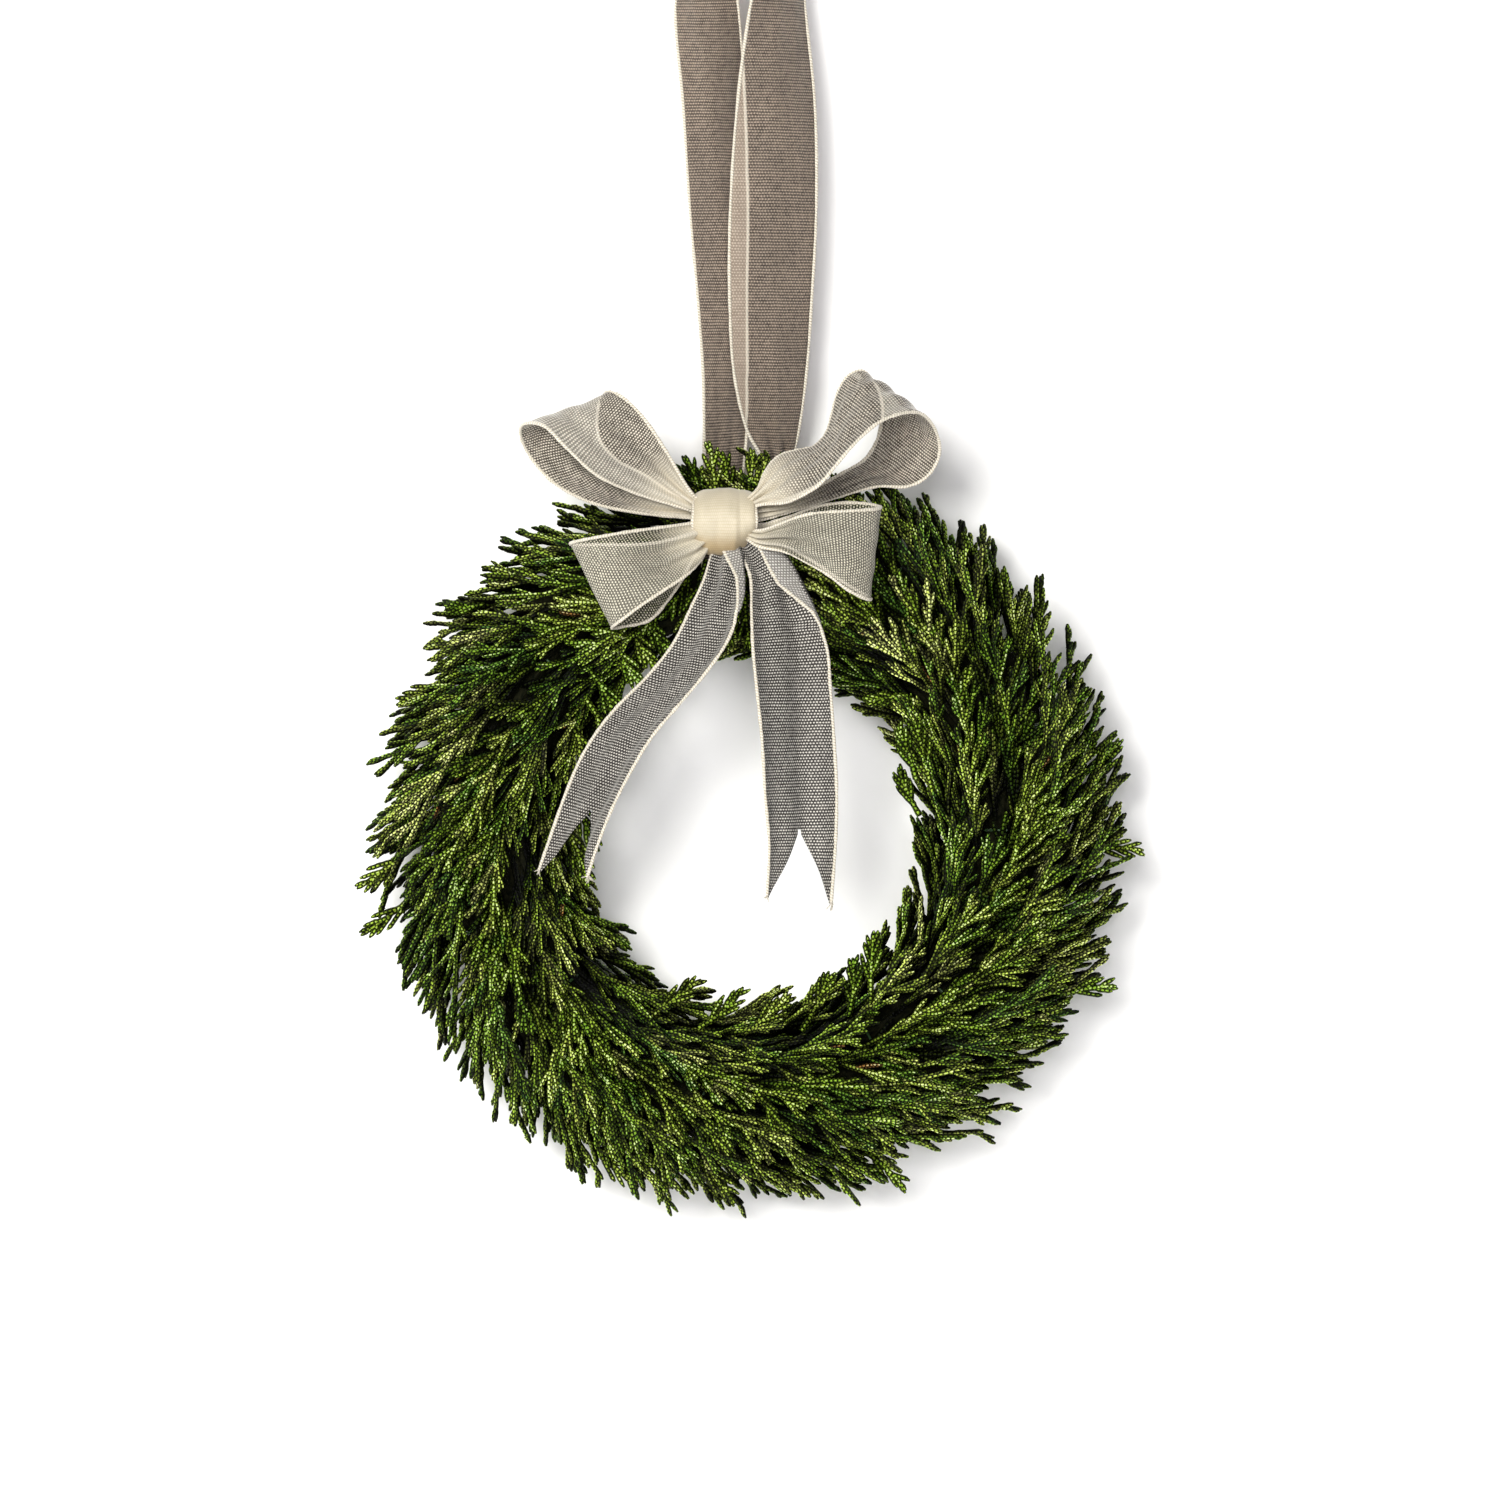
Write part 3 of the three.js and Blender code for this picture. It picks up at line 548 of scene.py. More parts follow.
UPPER_LEFT = [
    [-16.1, -31, 92.2, -16.1, -29, 87.2, 0],
    [-23.1, -34, 103.7, -31, -34, 91.8, 1.5],
    [-29.4, -34, 112.8, -41.8, -40, 96.8, 2],
    [-34.4, -33, 117.7, -49.5, -43, 103.7, 2],
    [-38.2, -30, 119.6, -56, -41, 110, 1.5],
    [-39.9, -26, 118.6, -61.8, -35, 110.4, 0],
    [-41.5, -22.5, 113.5, -62.2, -29, 106.6, 0],
    [-40.7, -21, 106, -59.4, -25.5, 101.3, 0.5],
    [-36, -21, 100.7, -53.6, -25, 95, 1],
    [-28, -22.5, 96.6, -43.6, -26, 89.6, 1],
    [-20.5, -24.5, 91.6, -30, -27, 86.6, 0.5],
    [-16.1, -25.5, 90, -16.1, -25.5, 85.2, 0],
]
LOWER_LEFT = [
    [-16.1, -33, 83.6, -14, -32, 73, 0],
    [-23.1, -37, 82.6, -17, -35, 69.8, 1.5],
    [-33.6, -41, 81.1, -23.1, -38, 65.6, 2],
    [-39.9, -41.5, 80, -29.4, -39, 61.4, 1.5],
    [-45.4, -39.5, 79, -34.8, -38, 57.4, 1],
    [-48.8, -34.5, 78.2, -37.6, -33.5, 55.2, 0],
    [-47.8, -29.8, 77.8, -34.6, -29.4, 55.6, 0],
    [-41.5, -27.6, 77.8, -27.4, -27.6, 57.4, 0.5],
    [-28.4, -26.6, 78, -22.4, -26.6, 62.8, 0.5],
    [-20, -26, 79.6, -18.4, -26, 68.6, 0],
    [-16.1, -25.5, 81, -15.6, -25.5, 73.6, 0],
]
UPPER_RIGHT = [
    [2.3, -32, 93.4, 2.3, -32, 88.6, 0],
    [4.4, -32, 98.2, 9.4, -37, 89.2, 1],
    [7.8, -30, 102, 14, -41, 90.9, 1.5],
    [12.6, -28, 103.6, 19, -43.5, 94.2, 1.5],
    [17.4, -26.5, 104.8, 23, -45, 98.8, 1],
    [20.8, -25.5, 108.4, 26.3, -45, 102.8, 1],
    [22.4, -25, 113.6, 30, -44, 106.7, 1.5],
    [24, -25, 119.6, 34.6, -42.5, 110.6, 2],
    [27, -25.5, 124.2, 40.6, -39.5, 113.2, 1.5],
    [30.6, -25, 125.4, 46.6, -34, 113.4, 0.5],
    [34.4, -22.6, 121, 50.8, -26.8, 108.6, 0],
    [36, -21.8, 114.1, 51.6, -21.6, 102.3, 0],
    [34.9, -22.5, 107.3, 48.4, -19.6, 96.8, 0.5],
    [31.6, -24, 101.6, 43, -19.8, 94, 0.5],
    [26, -25.8, 98, 35, -21.4, 94, 0.5],
    [18, -27.4, 93.6, 22.6, -23.8, 90.6, 0],
    [9.4, -27.8, 90, 11, -25.2, 87, 0],
    [2.3, -27.6, 89.2, 2.3, -26, 84.6, 0],
]
LOWER_RIGHT = [
    [2.3, -33, 81.6, 2.3, -32, 77.4, 0],
    [7.7, -36, 83.2, 9.4, -34.5, 76, 1],
    [12.4, -38.6, 85, 15.7, -37, 72.8, 1.5],
    [17.3, -40, 86.2, 20.6, -38.6, 70, 2],
    [26.1, -39.4, 86.8, 26.7, -38.6, 65.4, 1.5],
    [33.6, -36, 87.4, 31.8, -35, 63, 0.5],
    [35.6, -31.4, 88, 32.8, -31, 63.2, 0],
    [32.6, -27.8, 89, 30.4, -28, 64.6, 0],
    [26, -26.4, 89.4, 24.8, -27, 67.9, 0.5],
    [18.4, -25.6, 88.4, 17.6, -26.4, 72.9, 0.5],
    [10, -25, 85.4, 10.2, -26, 77, 0],
    [2.3, -24.6, 83.4, 2.3, -25.4, 78.6, 0],
]
TAIL_LEFT = [
    [-10.6, -27.4, 74.8, -3.4, -29.4, 75.2, 0],
    [-12.6, -28, 68.2, -2.4, -32.4, 68, 1],
    [-15.9, -28.2, 61.1, -2.8, -35.6, 60.5, 2],
    [-20.9, -28.4, 50.9, -5.8, -37.4, 51.7, 3],
    [-28, -28.6, 42, -12, -38, 42.6, 3],
    [-35, -28.8, 35, -19.4, -38, 33.8, 3],
    [-40.2, -28.8, 29, -26.4, -37.6, 25.4, 3],
    [-45.7, -28.4, 20.4, -31.8, -37, 16.6, 3],
    [-50, -28, 10.6, -37, -36.4, 6.4, 2.5],
    [-54.2, -27.6, -1.1, -41, -36, -3.6, 2],
    [-57.6, -27.2, -10.8, -44, -35.6, -12.8, 1.5],
]
TAIL_RIGHT = [
    [-2.4, -28.6, 75, 3.4, -27.4, 75.9, 0],
    [0, -31.4, 69.4, 8.6, -28.4, 70.8, 1],
    [0.4, -35, 59.6, 16, -29, 61.6, 2],
    [0.8, -36.8, 49.5, 21, -29, 50.7, 2.5],
    [1.9, -37.2, 38.2, 22.2, -28.8, 38.5, 3],
    [3.3, -37, 24.2, 23.2, -28.4, 24.6, 3],
    [4.1, -36.6, 10.2, 23.9, -28, 10.8, 2.5],
    [5.2, -36, -3.9, 23.6, -27.8, -3.6, 2],
    [4.6, -35.4, -18.2, 22.4, -27.6, -20, 1],
]
HANGER = [
    [-13, -13.5, 87, -4.4, -13.5, 87, 0],
    [-13, -13.3, 78, -4.4, -13.3, 78, 0],
    [-13, -11.2, 69, -4.4, -11.2, 69, 0],
    [-13, -8.3, 62.4, -4.4, -8.3, 62.4, 0],
    [-13, -4.4, 58.4, -4.4, -4.4, 58.4, 0],
    [-13, 4.4, 58.4, -4.2, 4.4, 58.4, 0],
    [-13, 8.6, 62.6, -4, 8.6, 62.6, 0],
    [-13, 11.4, 69.4, -3.8, 11.4, 69.4, 0],
    [-12.9, 11.8, 78, -3.4, 11.8, 78, 0],
    [-12.8, 11.4, 86, -3, 11.6, 86, 0],
    [-12.6, 9.6, 95.5, -2.2, 10.6, 96, 0],
    [-12.6, 7, 106, -1.1, 10.6, 107, 1],
    [-12.9, 5, 125.7, -0.8, 11.6, 125.7, 3.5],
    [-14.4, 3.4, 146.9, -0.8, 12, 146.9, 4.5],
    [-16.5, 3, 170.5, -0.6, 12, 170.5, 4.5],
    [-18.4, 4, 200, -1.4, 10.4, 200, 4],
    [-20.4, 6.6, 228, -3.4, 3.4, 228, 3],
    [-16.8, 11.6, 243, -5.4, -3.6, 244, 2],
    [-9.8, 15, 256, -5.8, -7.4, 257, 0.8],
    [-5.9, 16, 266, -5.4, -8.6, 266.4, 0],
    [-4.1, 16, 271, -4, -8.6, 271, 0],
    [0, 16, 273.95, 0, -8.6, 273.95, 0],
    [4.1, 16, 271, 4, -8.6, 271, 0],
    [5.9, 16, 266, 5.4, -8.6, 266.4, 0],
    [9.4, 15, 256, 5.4, -7.6, 257, 0.6],
    [14.2, 12, 243, 4.2, -5.8, 244, 1.6],
    [15, 9.4, 228, 0.4, -4.4, 228, 2],
    [17.8, 6, 200, -3.4, -2.6, 200, 2.5],
    [18.2, 5, 170.5, -5.4, -2, 170.5, 2],
    [17, 5.4, 146.9, -5.6, -0.6, 146.9, 2],
    [15.5, 6.4, 125.7, -4.4, 1, 125.7, 2],
    [13.4, 8, 110, 0, 4, 110, 1],
    [10.6, 10, 98, 1, 7.4, 98, 0],
    [8, 11.8, 86, -1.4, 11.6, 86, 0],
    [6.4, 11.8, 78, -2.2, 11.8, 78, 0],
    [5.6, 11.4, 69.4, -2.8, 11.4, 69.4, 0],
    [5, 8.6, 62.6, -3, 8.6, 62.6, 0],
    [4.4, 4.4, 58.4, -3.2, 4.4, 58.4, 0],
    [4, -4.4, 58.4, -3.4, -4.4, 58.4, 0],
    [4, -8.3, 62.4, -3.4, -8.3, 62.4, 0],
    [3, -11.2, 69, -3.4, -11.2, 69, 0],
    [2, -13.3, 78, -3.4, -13.3, 78, 0],
    [1.6, -13.5, 87, -3.4, -13.5, 87, 0],
]


def spline(points, shares):
    """A centripetal Catmull-Rom curve through the points, at shares of their number from 0 to 1."""
    count = len(points)
    before = 2 * points[0] - points[1]
    after = 2 * points[-1] - points[-2]
    padded = np.vstack([before, points, after])
    at = np.asarray(shares, float) * (count - 1)
    first = np.minimum(np.floor(at).astype(int), count - 2)
    weight = (at - first)[:, None]
    p0, p1, p2, p3 = (padded[first + k] for k in range(4))
    d0, d1, d2 = (((b - a) ** 2).sum(1) ** 0.25 for a, b in ((p0, p1), (p1, p2), (p2, p3)))
    d1 = np.where(d1 < 1e-4, 1, d1)[:, None]
    d0 = np.where(d0[:, None] < 1e-4, d1, d0[:, None])
    d2 = np.where(d2[:, None] < 1e-4, d1, d2[:, None])
    out = ((p1 - p0) / d0 - (p2 - p0) / (d0 + d1) + (p2 - p1) / d1) * d1
    into = ((p2 - p1) / d1 - (p3 - p1) / (d1 + d2) + (p3 - p2) / d2) * d1
    c2 = -3 * p1 + 3 * p2 - 2 * out - into
    c3 = 2 * p1 - 2 * p2 + out + into
    return p1 + out * weight + c2 * weight**2 + c3 * weight**3


class Strip:
    """A ribbon between two edges. u runs along it from 0 to 1, and v across it."""

    def __init__(self, stations):
        table = np.array(stations, float)
        self.left = table[:, :3]
        self.right = table[:, 3:6]
        self.bulge = table[:, 6]

    def edges(self, u):
        return spline(self.left, u), spline(self.right, u)

    def rise(self, u):
        return np.interp(u, np.linspace(0, 1, len(self.bulge)), self.bulge)

    def off(self, u):
        """The way that the ribbon's front faces."""
        step = 0.01
        a, b = self.edges(u)
        ahead = sum(self.edges(np.minimum(u + step, 1)))
        behind = sum(self.edges(np.maximum(u - step, 0)))
        return unit(np.cross(b - a, ahead - behind))

    def points(self, u, v):
        """Points in rows of u and columns of v."""
        a, b = self.edges(u)
        swell = (self.rise(u)[:, None] * np.sin(np.pi * v)[None, :])[..., None]
        return a[:, None] + (b - a)[:, None] * v[None, :, None] + self.off(u)[:, None] * swell

    def length(self):
        line = sum(self.edges(np.linspace(0, 1, 400))) / 2
        return np.linalg.norm(np.diff(line, axis=0), axis=1).sum()


LOOPS = {
    "bow_loop_upper_left": UPPER_LEFT,
    "bow_loop_lower_left": LOWER_LEFT,
    "bow_loop_upper_right": UPPER_RIGHT,
    "bow_loop_lower_right": LOWER_RIGHT,
}
TAILS = {"bow_tail_left": TAIL_LEFT, "bow_tail_right": TAIL_RIGHT}
STRIPS = {**LOOPS, **TAILS, "hanger_ribbon": HANGER}
NOTCHES = {"bow_tail_left": 0.82, "bow_tail_right": 0.83}


def ribbon_tree():
    """The ribbons' points, for keeping the foliage clear of them."""
    found = []
    for stations in STRIPS.values():
        strip = Strip(stations)
        line = spline(strip.left, np.linspace(0, 1, 201))
        steps = math.ceil(np.linalg.norm(np.diff(line, axis=0), axis=1).sum() / 1.6)
        grid = strip.points(np.arange(steps + 1) / steps, np.arange(15) / 14)
        found.append(grid.reshape(-1, 3))
    found = np.vstack(found)
    tree = KDTree(len(found))
    for i, point in enumerate(found):
        tree.insert(point, i)
    tree.balance()
    return tree


RIBBON_TREE = ribbon_tree()


def near_ribbon(point, reach):
    if RIBBON_TREE.find(point)[2] < reach:
        return True
    return np.linalg.norm((point - KNOT_CENTRE) / (KNOT_HALF + reach)) < 1.05


# Foliage: the part's own rule first, so that every spray here lies where the part has it

WORD = 0xFFFFFFFF


class Draws:
    """The part's seeded draw, the same numbers on every run."""

    def __init__(self, seed):
        self.state = seed

    def __call__(self, low=0.0, high=1.0):
        self.state = (self.state + 0x6D2B79F5) & WORD
        t = ((self.state ^ (self.state >> 15)) * (self.state | 1)) & WORD
        t ^= (t + (t ^ (t >> 7)) * (t | 61)) & WORD
        return low + (high - low) * ((t ^ (t >> 14)) & WORD) / (WORD + 1)


draw = Draws(20771)


def body_point(angle, turn, layer):
    """The angle round the ring, the angle round its body and the layer from the tied stems outward."""
    around = np.radians(turn)
    ring = np.radians(angle)
    forward_half = np.where(np.sin(around) > 0, BODY_FRONT, BODY_BACK)
    out = RING_RADIUS + mix(CORE_WIDE, BODY_WIDE, layer) * np.cos(around)
    forward = mix(CORE_DEEP, forward_half, layer) * np.sin(around)
    return np.stack([out * np.cos(ring), -forward, out * np.sin(ring)], axis=-1)


def outside_core(points):
    out = np.hypot(points[..., 0], points[..., 2]) - RING_RADIUS
    return np.hypot(out / CORE_WIDE, points[..., 1] / CORE_DEEP) - 1


def core_span(bunch):
    start = FIRST_ANGLE + bunch * BUNCH_ANGLE
    return start + HALF_GAP, start + BUNCH_ANGLE - HALF_GAP


def wire_line():
    points = []
    for neck in range(BUNCHES):
        angle = FIRST_ANGLE + neck * BUNCH_ANGLE
        for i in range(7):
            tight = 0.84 + 0.16 * abs(i / 3 - 1) ** 3
            turn = math.radians(282 + 336 * i / 6)
            out = RING_RADIUS + tight * CORE_WIDE * math.cos(turn)
            deep = -tight * CORE_DEEP * math.sin(turn)
            ring = math.radians(angle)
            points.append(np.array([out * math.cos(ring), deep, out * math.sin(ring)]))
        if neck + 1 < BUNCHES:
            for t in (0.3, 0.7):
                points.append(body_point(angle + t * BUNCH_ANGLE, mix(262, 278, t), 0.3))
    return points


MOST_SEGMENTS = 6000


class Kept:
    """Segments of the stems and twigs so far."""

    def __init__(self):
        self.p = np.zeros((MOST_SEGMENTS, 3))
        self.q = np.zeros((MOST_SEGMENTS, 3))
        self.facts = np.zeros((MOST_SEGMENTS, 3))  # radius, bunch, spray
        self.count = 0

    def add(self, points, radius, bunch, spray):
        for p, q in zip(points, points[1:]):
            self.p[self.count] = p
            self.q[self.count] = q
            self.facts[self.count] = (radius, bunch, spray)
            self.count += 1

    def blocks(self, p, q, radius, bunch, spray):
        """True if a new segment comes too near one that isn't of its own spray."""
        n = self.count
        d1, d2, r = q - p, self.q[:n] - self.p[:n], p - self.p[:n]
        a, e, f = d1 @ d1, (d2 * d2).sum(1), (d2 * r).sum(1)
        c, b = r @ d1, d2 @ d1
        spread = a * e - b * b
        s = np.where(spread > 1e-9, np.clip((b * f - c * e) / np.maximum(spread, 1e-9), 0, 1), 0)
        t = np.clip((b * s + f) / e, 0, 1)
        s = np.clip((b * t - c) / a, 0, 1)
        gap = np.linalg.norm(r + d1 * s[:, None] - d2 * t[:, None], axis=1)
        own_bunch = self.facts[:n, 1] == bunch
        own_spray = own_bunch & (self.facts[:n, 2] == spray)
        room = radius + self.facts[:n, 0] + np.where(own_bunch, 0, CLEAR)
        return bool((~own_spray & (gap < room)).any())


kept = Kept()


def fits(points, radius, bunch, spray):
    start, end = core_span(bunch)
    for p, q in zip(points, points[1:]):
        steps = math.ceil(np.linalg.norm(q - p) / 1.5)
        at = p + (q - p) * (np.arange(steps + 1) / steps)[:, None]
        angle = (np.degrees(np.arctan2(at[:, 2], at[:, 0])) - start + 720) % 360
        own = angle < end - start - 1.2
        in_other = ~own & (outside_core(at) * CORE_DEEP < radius + CLEAR + 0.35)
        if in_other.any() or any(near_ribbon(x, radius + 1.5) for x in at):
            return False
        if kept.blocks(p, q, radius, bunch, spray):
            return False
    return True


def stem_line(angle, turn, length, layer):
    """The line of a spray's stem. It leaves the tied stems, follows the ring and drifts to the outside."""
    drift = -30 * math.sin(math.radians(turn))
    outward = max(0, math.cos(math.radians(turn)))

    def line(t):
        t = np.asarray(t, float)
        travel = (length * t * (1 - 0.16 * outward * t)) / (RING_RADIUS + 12 * outward)
        rise = (layer + ROOT_DEPTH + OUTER_FLARE * outward * t) * np.maximum(t, 0) ** 0.8
        return body_point(angle + np.degrees(travel), turn + drift * t, rise - ROOT_DEPTH)

    return line


def away_from(points):
    """Straight away from the ring's middle line."""
    flat = points * np.array([1, 0, 1])
    return unit(points - unit(flat) * RING_RADIUS)


def twig_line(line, t, side, length, lift):
    base = line(t)
    along = unit(line(t + 0.03) - line(t - 0.03))
    off = away_from(base)
    across = unit(np.cross(along, off))
    way = unit(along + across * side * TWIG_SPREAD + off * lift)
    return base, base + way * length


def grow_spray(bunch, spray, turn):
    """One spray of the part: its bunch, its stem's line and its length, or None where there is no room."""
    start = core_span(bunch)[0]
    for attempt in range(TRIES):
        shorten = 1 - 0.035 * attempt
        angle = start + draw(0.5, 0.42 * BUNCH_ANGLE)
        length = SPRAY_LENGTH * shorten * draw(0.86, 1.1)
        inward = max(0, -math.cos(math.radians(turn)))
        leaning = turn + draw(-7, 7)
        line = stem_line(angle, leaning, length, draw(0.72, 1.04) - INNER_TRIM * inward)
        points = [line(t) for t in (0, 0.3, 0.65, 1)]
        if not fits(points, STEM_RADIUS, bunch, spray):
            continue
        kept.add(points, STEM_RADIUS, bunch, spray)
        for i in range(1, TWIGS + 1):
            side = 1 if i % 2 else -1
            t = STEM_RINGS[i]
            long = TWIG_LENGTH * (1.3 - 0.55 * t) * shorten * draw(0.85, 1.15)
            base, tip = twig_line(line, (t + STEM_RINGS[i + 1]) / 2, side, long, draw(-0.05, 0.16))
            if fits([mix(base, tip, 0.3), tip], TWIG_RADIUS, bunch, spray):
                kept.add([base, tip], TWIG_RADIUS, bunch, spray)
        return bunch, line, length
    return None


def grow_all():
    kept.add(wire_line(), WIRE_RADIUS, -1, 0)
    grown = []
    for spray in range(SPRAYS):
        for bunch in range(BUNCHES):
            turn = -62 + 304 * ((spray * 8) % SPRAYS + 0.5 * (bunch % 2)) / SPRAYS
            grown.append(grow_spray(bunch, spray, turn))
    return [one for one in grown if one]


sprays = grow_all()

# Everything that the scene adds draws from this one
chance = np.random.default_rng(4113)


def tube_faces(rings, sides):
    """The faces of a closed tube: four-cornered ones round it, and one at each end."""
    faces = []
    for k in range(rings - 1):
        for i in range(sides):
            a, b = k * sides + i, k * sides + (i + 1) % sides
            faces.append((a, b, b + sides, a + sides))
    last = (rings - 1) * sides
    faces.append(tuple(range(sides))[::-1])
    faces.append(tuple(range(last, last + sides)))
    return faces


@functools.lru_cache(maxsize=None)
def leaf_faces(rings):
    return np.array(tube_faces(rings, 4))


FACING = (0.24, 1.0, 0.24, 0.04)  # how much light reaches each corner of a branchlet among others
BACK_LIMIT = 19.4  # where the foliage lies against the wall
BACK_ROOM = 2.5  # in front of that limit, where tips are eased back from it
SIDE_LIMIT = 110.2  # the furthest tip at either side
SIDE_ROOM = 4
QUARTERS = np.arange(4) * math.pi / 2


class LeafMesh:
    """The tubes of one bunch, gathered into one mesh."""

    def __init__(self):
        self.points = []
        self.faces = []
        self.marks = []
        self.runs = []
        self.count = 0

    def add(self, rings, tone, woody, lit, run):
        """Four-cornered rings: their second corner looks out of the wreath, and the fourth into it."""
        n = len(rings)
        self.points.append(rings.reshape(-1, 3))
        self.faces.append(leaf_faces(n) + self.count)
        # Painted shade: corners deeper in the body get a lower lit mark, and FACING lowers it on the corners
        # that look into the wreath.
        full = np.where(rings[..., 1] > 0, 0.42, 0.95)
        depth = smooth_step(-0.05, full, outside_core(rings)) ** 1.3
        marks = np.zeros((n, 4, 4))
        marks[..., 0] = (0, 1, 0, 1)
        marks[..., 1] = tone
        marks[..., 2] = (0.05 + 0.95 * depth) * np.array(FACING) * lit
        marks[..., 3] = np.asarray(woody).reshape(-1, 1)
        self.marks.append(marks.reshape(-1, 4))
        self.runs.append(np.repeat(run, 4))
        self.count += 4 * n

    def make(self, name):
        points = np.vstack(self.points)
        points[:, 1] = eased(points[:, 1], BACK_LIMIT - BACK_ROOM, BACK_ROOM)
        points[:, 0] = eased(points[:, 0], SIDE_LIMIT - SIDE_ROOM, SIDE_ROOM)
        points[:, 0] = -eased(-points[:, 0], SIDE_LIMIT - SIDE_ROOM, SIDE_ROOM)
        piece = link_mesh(name, points, np.vstack(self.faces), smooth=False)
        colour_points(piece, "leaf", np.vstack(self.marks))
        run = piece.data.attributes.new("run", "FLOAT", "POINT")
        run.data.foreach_set("value", np.concatenate(self.runs).astype(np.float32))
        return piece


def eased(values, start, room):
    """Numbers past the start are slowed down, so that none gets further than the room past it."""
    return np.where(values > start, start + room * np.tanh((values - start) / room), values)


def tube_rings(path, flat_way, radii):
    """Four-cornered rings round a path. radii has one number for each corner of each ring."""
    along = unit(np.gradient(path, axis=0))
    across = unit(np.cross(along, flat_way))
    other = np.cross(across, along)
    cosine, sine = np.cos(QUARTERS)[None, :, None], np.sin(QUARTERS)[None, :, None]
    return path[:, None] + (across[:, None] * cosine + other[:, None] * sine) * radii[..., None]


def leafy(mesh, path, flat_way, radius, tone, lit):
    """A knobbly branchlet. Its scale leaves are in the material."""
    n = len(path)
    share = np.linspace(0, 1, n)
    taper = radius * (1 - 0.22 * share)
    taper[-1] *= 0.45
    knobs = chance.uniform(0.84, 1.16, (n, 4))
    rings = tube_rings(path, flat_way, taper[:, None] * knobs)
    mesh.add(rings, tone, 0.0, lit, path_lengths(path) + chance.uniform(0, 20))


def curved(base, way_out, way_on, length):
    """A path that starts one way and bends to another."""
    n = max(4, int(round(length / LEAF_STEP)) + 1)
    s = np.linspace(0, 1, n)[:, None]
    return base + length * (way_out * s + (way_on - way_out) * s * s / 2)


def clear_of_ribbon(path):
    picks = path[[len(path) // 3, 2 * len(path) // 3, -1]]
    return not any(near_ribbon(x, LEAF_CLEAR) for x in picks)


OUTLINE = 95  # the outermost tips' least distance from the wreath's centre
OUTLINE_SPREAD = 15
TONE_SPREAD = 0.16
DRY_SHARE = 0.004  # of the small twigs are dry and brown
DRY_TONE = 1.45


def within_reach(base, way, length):
    """The length that keeps a tip inside the wreath's ragged outline."""
    limit = OUTLINE + OUTLINE_SPREAD * chance.random() ** 2
    tip = base + way * length
    far = math.hypot(tip[0], tip[2])
    near = math.hypot(base[0], base[2])
    if far <= limit or far <= near:
        return length
    return length * max(0.3, (limit - near) / (far - near))


def dress_branchlet(mesh, base, along, across, off, side, length, tone, sparse):
    """A slender side branchlet of a spray, with smaller ones of its own."""
    steep = math.radians(chance.uniform(18, 36))
    roll = math.radians(chance.normal(14, 34))
    lean = across * side * math.cos(roll) + off * math.sin(roll)
    way_out = along * math.cos(steep) + lean * math.sin(steep)
    calm = steep * chance.uniform(0.2, 0.8)
    way_on = along * math.cos(calm) + lean * math.sin(calm)
    length = within_reach(base, unit(way_out + way_on), length)
    path = curved(base, way_out, way_on, length)
    if not clear_of_ribbon(path):
        path = curved(base, way_out, way_on, 0.45 * length)
        if not clear_of_ribbon(path):
            return
    tone = float(np.clip(tone + chance.normal(0, TONE_SPREAD), 0, 1))
    lit = chance.uniform(0.45, 1.0)
    leafy(mesh, path, off, LEAF_RADIUS * chance.uniform(0.86, 1.1), tone, lit)
    count = int(length / (9 if sparse else 5.2) + chance.uniform(-0.2, 0.6))
    for k in range(count):
        s = mix(0.15, 0.8, (k + chance.uniform(0.2, 0.8)) / count)
        at = path[int(s * (len(path) - 1))]
        ahead = unit(mix(way_out, way_on, s))
        turn = math.radians(chance.uniform(20, 38))
        hand = 1 if (k % 2) == (side > 0) else -1
        sideways = unit(np.cross(ahead, off)) * hand + off * chance.normal(0.15, 0.6)
        out = unit(ahead * math.cos(turn) + unit(sideways) * math.sin(turn))
        on = unit(ahead + out * 0.7)
        small = (0.42 * length * (1 - s) + 2.4) * chance.uniform(0.75, 1.25)
        twig = curved(at, out, on, small)
        dry = chance.random() < DRY_SHARE
        if clear_of_ribbon(twig):
            wide = LEAF_RADIUS * chance.uniform(0.78, 0.98)
            leafy(mesh, twig, off, wide, DRY_TONE if dry else tone, lit * chance.uniform(0.8, 1.1))


def needles(mesh, path, off, tone, lit):
    """Young shoots carry short awl-shaped leaves that stand off them."""
    leafy(mesh, path, off, 0.5, tone, lit)
    along = unit(np.gradient(path, axis=0))
    count = int(np.linalg.norm(path[-1] - path[0]) / 0.62)
    for k in range(count):
        at = k / count * (len(path) - 1)
        i = int(at)
        base = mix(path[i], path[min(i + 1, len(path) - 1)], at - i)
        turn = chance.uniform(0, 2 * math.pi)
        across = unit(np.cross(along[i], off))
        out = across * math.cos(turn) + np.cross(across, along[i]) * math.sin(turn)
        way = unit(along[i] * 0.8 + out * 0.7)
        long = chance.uniform(2.2, 3.8)
        line = np.array([base, base + way * 0.55 * long, base + way * long + along[i] * 0.25 * long])
        radii = np.array([0.26, 0.30, 0.05])[:, None] * np.ones(4)
        rings = tube_rings(line, off, radii)
        mesh.add(rings, tone + 0.1, 0.0, lit, np.array([0.6, 0.7, 0.8]))


OUTWARD_LEAN = 0.30
BRANCH_GAP = 3.3


